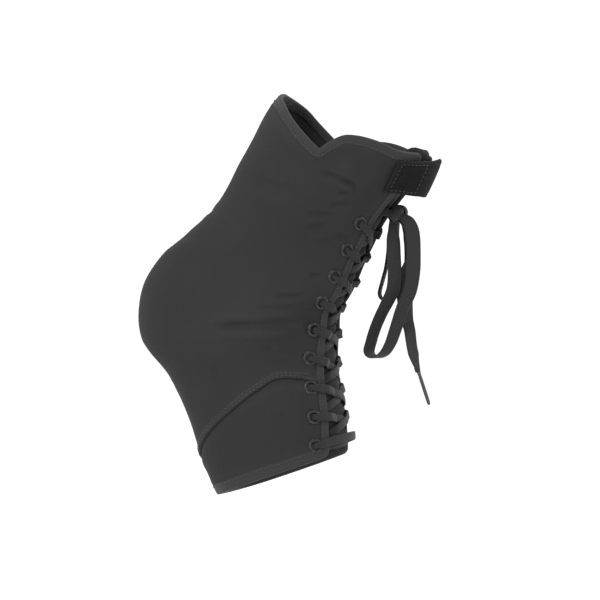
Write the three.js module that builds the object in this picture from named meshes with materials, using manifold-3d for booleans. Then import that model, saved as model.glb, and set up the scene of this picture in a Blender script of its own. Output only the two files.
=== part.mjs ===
// A lace-up ankle brace in the form that it has when worn on a foot that stands on tiptoe.
// Millimetres, +Z up, +X towards the toes, -Y the side that faces outwards on a right foot.
// The origin is the middle of the ankle joint.

import * as THREE from "three";
import { mergeVertices } from "three/addons/utils/BufferGeometryUtils.js";
import Module from "manifold-3d";

// Driving dimensions
const REACH = 188; // along X, from the back of the heel to the front edge at the shin
const HEIGHT = 244; // along Z, from the sole's front corner to the peak behind the calf
const WIDTH = 84; // along Y, at the widest section
const WALL = 2.2; // the cloth of the quarters and the foot panels
const CLEARANCE = 0.3; // between pieces that touch on the real brace
const FACET_ALLOWANCE = 0.45; // how far a flat facet may cut inside the curve that it stands for
const SEAM_GAP = 0.3; // between two cloth pieces that are sewn edge to edge
const FLAP_GAP = 52; // between the two front edges where they are furthest apart
const FLAP_CORNER = 3; // how far the front edge's lower corner is cut back

const TONGUE_THICKNESS = 4.5;
const TONGUE_TUCK = 11; // how far the tongue goes in under each front edge
const TONGUE_SET_BACK = 3; // from the toe end's edge back to the tongue's lower edge
const TONGUE_TOP_DROP = 5; // from the top section down to the tongue's upper edge
const TONGUE_EDGE_THINNING = 0.5; // the share of its thickness that is lost at its side edges
const TONGUE_EDGE_POWER = 4; // how near to those edges it starts to thin

const LACE_WIDTH = 8.2; // a free lace, lying flat
const LACE_PULLED_WIDTH = 5; // the same lace where it is pulled tight across the tongue
const LACE_BUNCHED_WIDTH = 3.4; // the same lace inside an eyelet
const LACE_THICKNESS = 1.4;
const LACE_BEND = 1.6; // the radius at which it turns into an eyelet
const LACE_EDGE_MARGIN = 1.3; // how far past a front edge it starts to rise or sink
const LACE_RIM_MARGIN = 1.2; // how far from an eyelet's rim it starts to rise or sink
const LACE_NECK_WIDTH = 4; // where a free lace comes out of the knot
const LACE_NECK_LENGTH = 12; // from there to where it has its full width
const CROSSING_SHARE = 0.2; // of a crossing, each way from its middle, that lies flat over the other

const EYELET_COUNT = 9; // on each side
const EYELET_PITCH = 17;
const EYELET_START = 9; // from the toe end's edge to the first eyelet
const EYELET_INSET = 9.5; // from the front edge to the eyelet's middle
const EYELET_BORE = 4.6;
const EYELET_BARREL = 5.8;
const EYELET_FLANGE = 8.8;
const EYELET_FLANGE_THICKNESS = 0.7;

const STRAP_WIDTH = 22; // along the front edges, which it crosses aslant
const STRAP_THICKNESS = 2;
const STRAP_OUTER_LENGTH = 29; // from the middle of the shin round the outer side
const STRAP_INNER_LENGTH = 38; // from the middle of the shin round the inner side
const STRAP_BELOW_TOP = 4; // from the top section to the strap's upper edge, at the shin
const STRAP_DROP = 10.5; // how much lower its ends lie, because it runs level round a leaning leg
const STRAP_END_CUT = 6; // how much sooner its lower edge ends, because its ends are cut upright
const STRAP_STANDOFF_TOP = 2.5; // how far it bridges clear of the shin, at its upper edge
const STRAP_STANDOFF_BOTTOM = 8; // and at its lower edge

const KNOT_ABOVE_EYELETS = 14; // from the last pair of eyelets to the knot
const KNOT_PROUD = 4; // from the front edges' surface to the knot's middle
const KNOT_LENGTH = 16; // across the shin
const KNOT_HEIGHT = 11;
const KNOT_DEPTH = 9;
const KNOT_ENTRY = 5.3; // from the knot's middle to the end of each half of the lace inside it
const AGLET_LENGTH = 20;
const AGLET_DIAMETER = 2.2;

// Sections of the brace from the toe end to the top. Each is a closed outline in a plane that
// holds the Y direction, between a point at the back or sole and one at the front.
// The X and Z columns are shares of REACH and HEIGHT, width is a share of WIDTH and gap one of
// FLAP_GAP. widest is the share of the chord at which the outline is widest. The square columns
// are exponents: 2 is an ellipse and 4 nearly a box.
const SECTIONS = table(
  ["backX", "backZ", "frontX", "frontZ", "width", "widest", "backSquare", "frontSquare", "gap"],
  [
    [-0.122, -0.43, 0.299, -0.318, 0.97, 0.4, 3.2, 2.1, 1],
    [-0.168, -0.36, 0.292, -0.238, 0.95, 0.4, 3.2, 2.1, 0.92],
    [-0.226, -0.24, 0.276, -0.17, 0.91, 0.42, 3, 2.1, 0.82],
    [-0.297, -0.14, 0.263, -0.11, 0.88, 0.46, 2.7, 2.1, 0.74],
    [-0.373, -0.075, 0.259, -0.0575, 0.88, 0.52, 2.4, 2.1, 0.68],
    [-0.405, -0.033, 0.262, -0.02, 0.9, 0.55, 2.2, 2.1, 0.64],
    [-0.412, 0.035, 0.27, 0.0225, 0.91, 0.58, 2.1, 2.1, 0.62],
    [-0.389, 0.11, 0.3, 0.065, 0.89, 0.58, 2, 2.1, 0.6],
    [-0.321, 0.18, 0.325, 0.11, 0.86, 0.56, 2, 2.1, 0.58],
    [-0.22, 0.24, 0.345, 0.148, 0.84, 0.52, 2, 2.1, 0.55],
    [-0.137, 0.305, 0.37, 0.19, 0.84, 0.5, 2, 2.1, 0.52],
    [-0.072, 0.395, 0.405, 0.245, 0.87, 0.48, 2.1, 2.1, 0.5],
    [-0.023, 0.458, 0.462, 0.3025, 0.91, 0.47, 2.1, 2.1, 0.5],
    [0.025, 0.523, 0.53, 0.365, 0.95, 0.46, 2.2, 2.1, 0.52],
    [0.077, 0.57, 0.588, 0.425, 0.97, 0.46, 2.2, 2.1, 0.55],
  ],
);

// The top edge of a quarter, from the middle of the back (around 0) to the front edge (around 1).
// drop, a share of HEIGHT, is how far the edge lies below the last section.
const TOP_EDGE = table(
  ["around", "drop"],
  [
    [0, 0],
    [0.115, 0.012],
    [0.23, 0.03],
    [0.31, 0.05],
    [0.385, 0.069],
    [0.46, 0.089],
    [0.535, 0.101],
    [0.565, 0.066],
    [0.6, 0.043],
    [0.65, 0.033],
    [0.71, 0.029],
    [0.77, 0.029],
    [0.86, 0.035],
    [0.93, 0.031],
    [1, 0.025],
  ],
);

// The seam between a quarter and its foot panel. station counts sections from the toe end.
const ARCH_SEAM = table(
  ["around", "station"],
  [
    [0, 0.95],
    [0.2, 1.25],
    [0.36, 1.62],
    [0.52, 2.02],
    [0.66, 2.42],
    [0.78, 2.72],
    [0.88, 2.62],
    [1, 2.3],
  ],
);

// Broad swellings and hollows of the cloth over what it wraps, and its deepest crease: at the
// ankle bone, in the bend of the ankle, the crease across it, and beside the heel tendon.
// height is a share of WIDTH. It fades out over spread, in sections, and spreadAround.
const RELIEF = table(
  ["station", "around", "height", "spread", "spreadAround"],
  [
    [4.7, 0.72, 0.03, 1.1, 0.1],
    [6.3, 0.97, -0.02, 1, 0.1],
    [5.6, 0.78, -0.018, 0.35, 0.12],
    [8.7, 0.3, -0.025, 1.2, 0.13],
  ],
);

// The places along each free lace, in millimetres from the knot's middle. turn is the direction
// in which its width lies, in degrees round Z: 0 is along X.
const PLACE = ["x", "y", "z", "turn"];
const FRONT_LOOP = table(PLACE, [
  [3.4, -5, -1.2, 5],
  [8.4, -6, -4.6, 5],
  [10.9, -7, -12, 8],
  [11.6, -7.5, -24, 10],
  [11.3, -7.5, -35, 14],
  [9, -7.2, -47, 20],
  [4.7, -6.8, -56, 26],
  [-0.2, -6.2, -70, 35],
  [-3.8, -5.4, -79, 42],
  [-8.2, -3.6, -84.6, 46],
  [-14.4, -0.4, -86.6, 48],
  [-18.4, 2.4, -83.6, 48],
  [-17.4, 3.8, -77, 46],
  [-15.2, 3.6, -70, 42],
  [-10.9, 1.6, -61, 36],
  [-6.6, -1.2, -54, 28],
  [-2.4, -2.9, -45.5, 24],
  [-1.2, -3.6, -33.6, 20],
  [-1.6, -3.2, -24.4, 18],
  [-2.2, -2.6, -15.3, 15],
  [-2.6, -3, -4, 10],
]);
const BACK_LOOP = table(PLACE, [
  [-1, 5.5, -2.4, 80],
  [-2.4, 8, -12, 85],
  [-2.9, 10.4, -22, 90],
  [-3.6, 10.4, -33, 90],
  [-5.4, 10.4, -43, 90],
  [-8.4, 10.4, -49.5, 90],
  [-11.9, 10.4, -51.5, 90],
  [-13.8, 10.4, -48.5, 90],
  [-12.2, 10.4, -41, 90],
  [-10, 10.4, -33, 90],
  [-8.4, 10.4, -22, 90],
  [-7, 8, -12, 85],
  [-4, 5.5, -2.4, 80],
]);
const FRONT_TAIL = table(PLACE, [
  [1.8, 0, -3.6, 45],
  [6.6, -0.6, -9, 55],
  [10, -0.6, -16, 58],
  [9.8, 0, -23, 50],
  [7, 1.6, -30, 36],
  [3.4, 3.1, -38, 26],
  [2.4, 3.4, -46.5, 24],
  [3.3, 3.2, -55, 28],
  [5, 2.5, -63, 36],
  [6.9, 2, -70.5, 44],
  [8.2, 1.5, -79, 50],
  [10.2, 0.8, -87.5, 50],
  [13.1, 0, -96, 50],
]);
const BACK_TAIL = table(PLACE, [
  [2, 4.6, -3, 50],
  [4.6, 7.6, -12, 50],
  [5.4, 8.8, -24, 50],
  [4.6, 9.2, -38, 50],
  [3.8, 9.4, -52, 50],
  [4.2, 9.4, -64, 50],
  [6.2, 9, -76, 50],
]);

// The last stretch of each half of the lace. up is the share of the way up from the last eyelets
// to the knot at which it clears the eyelet, passes the front edge and nears the knot, and in is
// how far it has then come from that edge towards the knot's end.
const KNOT_APPROACH = { clearsEyelet: 0.25, passesEdge: 0.5, nearsKnot: 0.65, in: 0.6 };

// How finely the pieces are divided
const QUARTER_ROWS = 22;
const FOOT_PANEL_ROWS = 5;
const TONGUE_ROWS = 28;
const TONGUE_COLUMNS = 8;
const STRAP_ROWS = 2;
const STRAP_COLUMNS = 14;
const OUTLINE_STEPS = 72;
const EYELET_SIDES = 8;
const HOLE_SIDES = 10;
const HOLE_CUTTER = 6; // how many times as long as the cloth is thick a hole's cutter is
const LACE_STEP = 5.5;
const LOOP_STEPS = 32;
const TAIL_STEPS = 18;
const EDGE_STEPS = 280;
const KNOT_SEGMENTS = 12;
const KNOT_RINGS = 9;

const CLOTH = { color: 0x3a3a3d, roughness: 0.92, metalness: 0 };
const TONGUE_CLOTH = { color: 0x333336, roughness: 0.94, metalness: 0 };
const LACE_YARN = { color: 0x303033, roughness: 0.88, metalness: 0 };
const STRAP_WEBBING = { color: 0x1d1d20, roughness: 0.9, metalness: 0 };
const EYELET_ENAMEL = { color: 0x1a1a1c, roughness: 0.4, metalness: 0.6 };
const AGLET_PLASTIC = { color: 0x28282b, roughness: 0.35, metalness: 0 };

const LAST_STATION = SECTIONS.length - 1;
const OUTER = -1; // the side at negative Y
const INNER = 1;
const { clamp, degToRad, lerp } = THREE.MathUtils;

// Heights of a lace's middle above the quarters' outer face, or below it where negative
const LACE_ON_FLAP = CLEARANCE + LACE_THICKNESS / 2 + FACET_ALLOWANCE;
const FLANGE_SEAT = CLEARANCE + FACET_ALLOWANCE;
const LACE_ON_FLANGE = FLANGE_SEAT + EYELET_FLANGE_THICKNESS + LACE_ON_FLAP;
const LACE_UNDER = -(WALL + FACET_ALLOWANCE + CLEARANCE + LACE_THICKNESS / 2);
const LACE_OVER = LACE_UNDER + LACE_THICKNESS + CLEARANCE + FACET_ALLOWANCE;
const TONGUE_FACE = LACE_UNDER - LACE_THICKNESS / 2 - CLEARANCE - 2 * FACET_ALLOWANCE;

// Rows of numbers as objects with named values
function table(columns, rows) {
  return rows.map((row) => Object.fromEntries(columns.map((column, i) => [column, row[i]])));
}

// A smooth curve through evenly spaced values
function smoothValue(values, place) {
  const at = clamp(place, 0, values.length - 1);
  const i = Math.min(Math.floor(at), values.length - 2);
  const t = at - i;
  const before = values[Math.max(i - 1, 0)];
  const after = values[Math.min(i + 2, values.length - 1)];
  const slopeIn = (values[i + 1] - before) / 2;
  const slopeOut = (after - values[i]) / 2;
  const fall = values[i] - values[i + 1];
  const cubic = 2 * fall + slopeIn + slopeOut;
  const square = -3 * fall - 2 * slopeIn - slopeOut;
  return values[i] + t * (slopeIn + t * (square + t * cubic));
}

// Straight lines through the rows of a table, from one column to another
function tableValue(rows, from, to, place) {
  const i = clamp(rows.findIndex((row) => row[from] >= place), 1, rows.length - 1);
  const [a, b] = [rows[i - 1], rows[i]];
  return lerp(a[to], b[to], clamp((place - a[from]) / (b[from] - a[from]), 0, 1));
}

// Half of a section's outline, from the middle of the back to the middle of the front, with the
// distance along it at each point
function makeOutline(station) {
  const at = (column) => smoothValue(SECTIONS.map((row) => row[column]), station);
  const back = new THREE.Vector3(at("backX") * REACH, 0, at("backZ") * HEIGHT);
  const front = new THREE.Vector3(at("frontX") * REACH, 0, at("frontZ") * HEIGHT);
  const chord = front.distanceTo(back);
  const backPart = at("widest") * chord;
  const halfWidth = (at("width") * WIDTH) / 2;
  const points = [];
  let distance = 0;
  for (let i = 0; i <= OUTLINE_STEPS; i += 1) {
    const angle = (Math.PI * i) / OUTLINE_STEPS;
    const behind = angle < Math.PI / 2;
    const power = 2 / (behind ? at("backSquare") : at("frontSquare"));
    const lengthways = Math.abs(Math.cos(angle)) ** power;
    const x = backPart + (behind ? -backPart : chord - backPart) * lengthways;
    const y = halfWidth * Math.abs(Math.sin(angle)) ** power;
    if (i > 0) {
      distance += Math.hypot(x - points[i - 1].x, y - points[i - 1].y);
    }
    points.push({ x, y, distance });
  }
  const along = front.clone().sub(back).normalize();
  return { back, along, points, half: distance, halfGap: (at("gap") * FLAP_GAP) / 2 };
}

const outlines = new Map();
function outlineAt(station) {
  const key = clamp(station, 0, LAST_STATION).toFixed(4);
  if (!outlines.has(key)) {
    outlines.set(key, makeOutline(Number(key)));
  }
  return outlines.get(key);
}

// The point on the smooth outer form at a distance round from the middle of the back, positive
// towards the inner side
function formPoint(station, arc) {
  const outline = outlineAt(station);
  const pastFront = Math.abs(arc) > outline.half;
  const side = Math.sign(arc) * (pastFront ? -1 : 1);
  const distance = pastFront ? 2 * outline.half - Math.abs(arc) : Math.abs(arc);
  const i = clamp(outline.points.findIndex((p) => p.distance >= distance), 1, OUTLINE_STEPS);
  const [a, b] = [outline.points[i - 1], outline.points[i]];
  const share = (distance - a.distance) / (b.distance - a.distance);
  const point = outline.back.clone().addScaledVector(outline.along, lerp(a.x, b.x, share));
  point.y = side * lerp(a.y, b.y, share);
  return point;
}

// The direction up the form, towards the top, and the one out of it
function formUp(station, arc) {
  const step = 0.05;
  return formPoint(station + step, arc).sub(formPoint(station - step, arc)).normalize();
}
function formNormal(station, arc) {
  const step = 1.5;
  const round = formPoint(station, arc + step).sub(formPoint(station, arc - step));
  return formUp(station, arc).cross(round).normalize();
}

// The height of the swellings and hollows
function relief(station, arc) {
  const outline = outlineAt(station);
  const around = Math.min(Math.abs(arc), 2 * outline.half - Math.abs(arc));
  let height = 0;
  for (const row of RELIEF) {
    const up = (station - row.station) / row.spread;
    const across = (around / (outline.half - outline.halfGap) - row.around) / row.spreadAround;
    height += row.height * WIDTH * Math.exp(-up * up - across * across);
  }
  return height;
}

// The point at a height above the outer face of the cloth
function clothPoint(station, arc, height) {
  const normal = formNormal(station, arc);
  return formPoint(station, arc).addScaledVector(normal, relief(station, arc) + height);
}

// The same, at a distance from the middle of the front, positive towards the inner side
function frontArc(station, fromFront) {
  return outlineAt(station).half - fromFront;
}
function frontPoint(station, fromFront, height) {
  return clothPoint(station, frontArc(station, fromFront), height);
}

// The station at a distance up the front edge from the toe end
const edgeTable = [{ station: 0, distance: 0 }];
for (let i = 1; i <= EDGE_STEPS; i += 1) {
  const station = (i / EDGE_STEPS) * LAST_STATION;
  const last = edgeTable[i - 1];
  const step = edgePoint(station).distanceTo(edgePoint(last.station));
  edgeTable.push({ station, distance: last.distance + step });
}
const EDGE_LENGTH = edgeTable[EDGE_STEPS].distance;
function edgePoint(station) {
  return frontPoint(station, outlineAt(station).halfGap, 0);
}
function stationUpEdge(distance) {
  return tableValue(edgeTable, "distance", "station", distance);
}

// A closed solid from its corners and triangles, with its faces turned outwards
function solid(points, triangles) {
  const volume = triangles.reduce((sum, [a, b, c]) => {
    return sum + points[a].dot(points[b].clone().cross(points[c]));
  }, 0);
  const turned = volume > 0 ? triangles : triangles.map(([a, b, c]) => [a, c, b]);
  const geometry = new THREE.BufferGeometry();
  geometry.setAttribute(
    "position",
    new THREE.Float32BufferAttribute(points.flatMap((p) => [p.x, p.y, p.z]), 3),
  );
  geometry.setIndex(turned.flat());
  return geometry;
}

// A bent slab with a grid of points on its outer face and on its inner one.
// pointAt takes the shares across and up, and whether the point is on the inner face.
function slab(acrossShares, upShares, pointAt) {
  const [columns, rows] = [acrossShares.length, upShares.length];
  const points = [];
  for (const inside of [false, true]) {
    for (const up of upShares) {
      for (const across of acrossShares) {
        points.push(pointAt(across, up, inside));
      }
    }
  }
  const outer = (i, j) => j * columns + i;
  const inner = (i, j) => rows * columns + outer(i, j);
  const triangles = [];
  const quad = (a, b, c, d) => triangles.push([a, b, c], [a, c, d]);
  for (let j = 0; j + 1 < rows; j += 1) {
    for (let i = 0; i + 1 < columns; i += 1) {
      quad(outer(i, j), outer(i + 1, j), outer(i + 1, j + 1), outer(i, j + 1));
      quad(inner(i, j), inner(i, j + 1), inner(i + 1, j + 1), inner(i + 1, j));
    }
  }
  const last = { i: columns - 1, j: rows - 1 };
  for (let i = 0; i + 1 < columns; i += 1) {
    quad(outer(i, 0), inner(i, 0), inner(i + 1, 0), outer(i + 1, 0));
    quad(outer(i, last.j), outer(i + 1, last.j), inner(i + 1, last.j), inner(i, last.j));
  }
  for (let j = 0; j + 1 < rows; j += 1) {
    quad(outer(0, j), outer(0, j + 1), inner(0, j + 1), inner(0, j));
    quad(outer(last.i, j), inner(last.i, j), inner(last.i, j + 1), outer(last.i, j + 1));
  }
  return solid(points, triangles);
}

function evenShares(count) {
  return Array.from({ length: count + 1 }, (_, i) => i / count);
}

// A flat ribbon through stations that each give a place, a width and the direction of that width.
// extra widens and thickens it all round and lengthens it at both ends.
function ribbon(stations, extra = 0) {
  const points = [];
  const last = stations.length - 1;
  stations.forEach((station, i) => {
    const ahead = stations[Math.min(i + 1, last)].place;
    const behind = stations[Math.max(i - 1, 0)].place;
    const travel = ahead.clone().sub(behind).normalize();
    const across = station.across.clone();
    across.addScaledVector(travel, -across.dot(travel)).normalize();
    const face = new THREE.Vector3().crossVectors(across, travel);
    across.multiplyScalar(station.width / 2 + extra);
    face.multiplyScalar(LACE_THICKNESS / 2 + extra);
    const place = station.place.clone();
    place.addScaledVector(travel, (i === last ? extra : 0) - (i === 0 ? extra : 0));
    for (const [a, b] of [[1, 1], [-1, 1], [-1, -1], [1, -1]]) {
      points.push(place.clone().addScaledVector(across, a).addScaledVector(face, b));
    }
  });
  const sides = 4;
  const triangles = [[0, 1, 2], [0, 2, 3]];
  for (let i = 0; i < last; i += 1) {
    for (let k = 0; k < sides; k += 1) {
      const [a, b] = [i * sides + k, i * sides + ((k + 1) % sides)];
      triangles.push([a, a + sides, b + sides], [a, b + sides, b]);
    }
  }
  const end = last * sides;
  triangles.push([end, end + 2, end + 1], [end, end + 3, end + 2]);
  return solid(points, triangles);
}

const wasm = await Module();
wasm.setup();

function toManifold(geometry) {
  const plain = geometry.clone();
  plain.deleteAttribute("normal");
  plain.deleteAttribute("uv");
  const merged = mergeVertices(plain, 1e-4);
  const mesh = new wasm.Mesh({
    numProp: 3,
    vertProperties: new Float32Array(merged.attributes.position.array),
    triVerts: new Uint32Array(merged.index.array),
  });
  return new wasm.Manifold(mesh);
}

function cut(geometry, cutters) {
  let body = toManifold(geometry);
  for (const cutter of cutters) {
    body = body.subtract(toManifold(cutter));
  }
  const mesh = body.getMesh();
  const result = new THREE.BufferGeometry();
  result.setAttribute("position", new THREE.BufferAttribute(mesh.vertProperties, 3));
  result.setIndex(new THREE.BufferAttribute(mesh.triVerts, 1));
  return result;
}

function piece(name, geometry, finish) {
  geometry.computeVertexNormals();
  const mesh = new THREE.Mesh(geometry, new THREE.MeshStandardMaterial(finish));
  mesh.name = name;
  return mesh;
}

// Eyelets
const eyelets = Array.from({ length: EYELET_COUNT }, (_, i) => {
  const station = stationUpEdge(EYELET_START + i * EYELET_PITCH);
  return { station, fromFront: outlineAt(station).halfGap + EYELET_INSET };
});

// The turn that takes a turned shape's own axis to a direction
function turnTo(direction) {
  return new THREE.Quaternion().setFromUnitVectors(new THREE.Vector3(0, 1, 0), direction);
}

function eyeletFrame(eyelet, side) {
  const arc = frontArc(eyelet.station, side * eyelet.fromFront);
  return {
    place: clothPoint(eyelet.station, arc, 0),
    normal: formNormal(eyelet.station, arc),
    up: formUp(eyelet.station, arc),
  };
}

function eyeletHole(eyelet, side) {
  const { place, normal } = eyeletFrame(eyelet, side);
  const radius = (EYELET_BARREL / 2 + CLEARANCE) / Math.cos(Math.PI / HOLE_SIDES);
  const hole = new THREE.CylinderGeometry(radius, radius, HOLE_CUTTER * WALL, HOLE_SIDES);
  hole.applyQuaternion(turnTo(normal));
  return hole.translate(place.x, place.y, place.z);
}

function eyeletPiece(name, eyelet, side) {
  const { place, normal } = eyeletFrame(eyelet, side);
  const [bore, barrel, flange] = [EYELET_BORE / 2, EYELET_BARREL / 2, EYELET_FLANGE / 2];
  const profile = [
    [bore, -WALL],
    [barrel, -WALL],
    [barrel, FLANGE_SEAT],
    [flange, FLANGE_SEAT],
    [flange, FLANGE_SEAT + EYELET_FLANGE_THICKNESS],
    [bore, FLANGE_SEAT + EYELET_FLANGE_THICKNESS],
    [bore, -WALL],
  ];
  const corners = profile.map(([radius, height]) => new THREE.Vector2(radius, height));
  const mesh = piece(name, new THREE.LatheGeometry(corners, EYELET_SIDES), EYELET_ENAMEL);
  mesh.position.copy(place);
  mesh.quaternion.copy(turnTo(normal));
  return mesh;
}

// The cloth of one side, between two curves given as stations for each share around
function clothPiece(name, side, upShares, lowerAt, upperAt, cutters) {
  const around = TOP_EDGE.map((row) => row.around);
  const geometry = slab(around, upShares, (share, up, inside) => {
    const station = lerp(lowerAt(share), upperAt(share), up);
    const outline = outlineAt(station);
    const arc = side * share * (outline.half - outline.halfGap);
    const point = clothPoint(station, arc, inside ? -WALL : 0);
    if (share === 0) {
      point.y = 0;
    }
    point.y += (side * SEAM_GAP) / 2;
    return point;
  });
  return piece(name, cutters.length > 0 ? cut(geometry, cutters) : geometry, CLOTH);
}

function seamStation(share, side) {
  const middle = tableValue(ARCH_SEAM, "around", "station", share);
  const spacing = stationSpacing(middle, share);
  return middle + (side * SEAM_GAP) / 2 / spacing;
}

// Millimetres between two neighbouring sections, at a share around
function stationSpacing(station, share) {
  const step = 0.25;
  const at = (s) => {
    const outline = outlineAt(s);
    return formPoint(s, share * (outline.half - outline.halfGap));
  };
  return at(station + step).distanceTo(at(station - step)) / (2 * step);
}

function topStation(share) {
  const drop = tableValue(TOP_EDGE, "around", "drop", share) * HEIGHT;
  return LAST_STATION - drop / stationSpacing(LAST_STATION - 1, share);
}

function toeStation(share) {
  const cornerStart = TOP_EDGE[TOP_EDGE.length - 2].around;
  const corner = Math.max(0, (share - cornerStart) / (1 - cornerStart)) * FLAP_CORNER;
  return corner / stationSpacing(0.5, share);
}

function quarter(name, side) {
  const cutters = eyelets.map((eyelet) => eyeletHole(eyelet, side));
  const lower = (share) => seamStation(share, 1);
  return clothPiece(name, side, evenShares(QUARTER_ROWS), lower, topStation, cutters);
}

function footPanel(name, side) {
  const cutters = eyelets.map((eyelet) => eyeletHole(eyelet, side));
  const upper = (share) => seamStation(share, -1);
  return clothPiece(name, side, evenShares(FOOT_PANEL_ROWS), toeStation, upper, cutters);
}

function tongue(name) {
  const lowest = stationUpEdge(TONGUE_SET_BACK);
  const highest = stationUpEdge(EDGE_LENGTH - TONGUE_TOP_DROP);
  const columns = evenShares(TONGUE_COLUMNS);
  const geometry = slab(columns, evenShares(TONGUE_ROWS), (share, up, inside) => {
    const station = lerp(lowest, highest, up);
    const reach = outlineAt(station).halfGap + TONGUE_TUCK;
    const across = 2 * share - 1;
    const plump = 1 - TONGUE_EDGE_THINNING * Math.abs(across) ** TONGUE_EDGE_POWER;
    const depth = inside ? TONGUE_THICKNESS * plump : 0;
    return frontPoint(station, across * reach, TONGUE_FACE - depth);
  });
  return piece(name, geometry, TONGUE_CLOTH);
}

function topStrap(name) {
  const top = EDGE_LENGTH - STRAP_BELOW_TOP;
  const columns = evenShares(STRAP_COLUMNS);
  const geometry = slab(columns, evenShares(STRAP_ROWS), (share, up, inside) => {
    const endCut = STRAP_END_CUT * (1 - up);
    const outerEnd = STRAP_OUTER_LENGTH - endCut;
    const innerEnd = STRAP_INNER_LENGTH - endCut;
    const fromFront = lerp(-outerEnd, innerEnd, share);
    const away = Math.abs(fromFront) / (fromFront < 0 ? outerEnd : innerEnd);
    const station = stationUpEdge(top - STRAP_DROP * away - STRAP_WIDTH * (1 - up));
    const standoff = lerp(STRAP_STANDOFF_BOTTOM, STRAP_STANDOFF_TOP, up);
    const bridge = standoff * Math.cos((away * Math.PI) / 2) ** 2;
    const height = CLEARANCE + FACET_ALLOWANCE + bridge + (inside ? 0 : STRAP_THICKNESS);
    return frontPoint(station, fromFront, height);
  });
  return piece(name, geometry, STRAP_WEBBING);
}

// The knot's place
const lastEyelet = eyelets[EYELET_COUNT - 1];
const eyeletRow = (EYELET_COUNT - 1) * EYELET_PITCH;
const knotStation = stationUpEdge(EYELET_START + eyeletRow + KNOT_ABOVE_EYELETS);
const knotPlace = frontPoint(knotStation, 0, KNOT_PROUD);

// One half of the lace, from the middle of the bar across the first pair of eyelets, crossing
// between the front edges from each eyelet to the next one on the other side, to the knot
function laceRun(name, firstSide, crossingHeight) {
  const path = [];
  const add = (place, width, across) => path.push({ place, width, across });
  const onFront = (station, fromFront, height, width) => {
    const up = formUp(station, frontArc(station, fromFront));
    add(frontPoint(station, fromFront, height), width, up);
  };
  const follow = (a, b) => {
    const start = frontPoint(a.station, a.from, a.height);
    const end = frontPoint(b.station, b.from, b.height);
    const steps = Math.ceil(start.distanceTo(end) / LACE_STEP);
    for (let i = 1; i <= steps; i += 1) {
      const t = i / steps;
      const [station, from] = [lerp(a.station, b.station, t), lerp(a.from, b.from, t)];
      onFront(station, from, lerp(a.height, b.height, t), lerp(a.width, b.width, t));
    }
  };
  const run = (places) => {
    onFront(places[0].station, places[0].from, places[0].height, places[0].width);
    for (let i = 1; i < places.length; i += 1) {
      follow(places[i - 1], places[i]);
    }
  };
  // Down through an eyelet: over its flange, round a bend, through, and round a bend under the cloth
  const through = (eyelet, side, towards, away) => {
    const { place, normal, up } = eyeletFrame(eyelet, side);
    const at = (direction, reach, height) => {
      const point = place.clone().addScaledVector(direction, reach).addScaledVector(normal, height);
      add(point, LACE_BUNCHED_WIDTH, up);
    };
    const corner = LACE_BEND * (1 - Math.SQRT1_2);
    at(towards, LACE_BEND, LACE_ON_FLANGE);
    at(towards, corner, LACE_ON_FLANGE - corner);
    at(towards, 0, LACE_ON_FLANGE - LACE_BEND);
    at(away, 0, LACE_UNDER + LACE_BEND);
    at(away, corner, LACE_UNDER + corner);
    at(away, LACE_BEND, LACE_UNDER);
  };
  // The direction along the cloth from an eyelet to a place on the front
  const heading = (eyelet, side, station, fromFront) => {
    const { place, normal } = eyeletFrame(eyelet, side);
    const direction = frontPoint(station, fromFront, 0).sub(place);
    return direction.addScaledVector(normal, -direction.dot(normal)).normalize();
  };
  const nearEyelet = EYELET_FLANGE / 2 + LACE_RIM_MARGIN;
  const crossing = (from, to, fromSide) => {
    const total = from.fromFront + to.fromFront;
    const at = (distance, height) => ({
      station: lerp(from.station, to.station, distance / total),
      from: fromSide * (from.fromFront - distance),
      height,
      width: LACE_PULLED_WIDTH,
    });
    const overlap = CROSSING_SHARE * total;
    const middle = total / 2;
    run([
      at(nearEyelet, LACE_UNDER),
      at(EYELET_INSET + LACE_EDGE_MARGIN, LACE_UNDER),
      at(middle - overlap, crossingHeight),
      at(middle + overlap, crossingHeight),
      at(total - EYELET_INSET - LACE_EDGE_MARGIN, LACE_ON_FLAP),
      at(total - nearEyelet, LACE_ON_FLANGE + FACET_ALLOWANCE),
    ]);
  };
  const first = eyelets[0];
  let side = firstSide;
  const bar = { station: first.station, height: LACE_ON_FLAP, width: LACE_PULLED_WIDTH };
  run([
    { ...bar, from: (firstSide * SEAM_GAP) / 2 },
    { ...bar, from: side * (first.fromFront - EYELET_INSET) },
    { ...bar, from: side * (first.fromFront - nearEyelet), height: LACE_ON_FLANGE },
  ]);
  for (let i = 0; i < EYELET_COUNT; i += 1) {
    const here = eyelets[i];
    const below = eyelets[i - 1] ?? { station: here.station, fromFront: 0 };
    const above = eyelets[i + 1] ?? { station: knotStation, fromFront: 0 };
    const came = heading(here, side, below.station, -side * below.fromFront);
    const goes = heading(here, side, above.station, -side * above.fromFront);
    through(here, side, came, goes);
    if (i + 1 < EYELET_COUNT) {
      crossing(here, above, side);
      side = -side;
    }
  }
  const edge = outlineAt(lastEyelet.station).halfGap;
  const endingAt = (upShare, fromFront) => ({
    station: lerp(lastEyelet.station, knotStation, upShare),
    from: side * fromFront,
    height: LACE_UNDER,
    width: LACE_PULLED_WIDTH,
  });
  run([
    endingAt(KNOT_APPROACH.clearsEyelet, lastEyelet.fromFront - nearEyelet),
    endingAt(KNOT_APPROACH.passesEdge, edge),
    endingAt(KNOT_APPROACH.nearsKnot, lerp(edge, KNOT_LENGTH / 2, KNOT_APPROACH.in)),
  ]);
  const knotEnd = knotPlace.clone().add(new THREE.Vector3(0, side * KNOT_ENTRY, 0));
  add(knotEnd, LACE_BUNCHED_WIDTH, formUp(knotStation, frontArc(knotStation, 0)));
  return { name, path };
}

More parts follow.
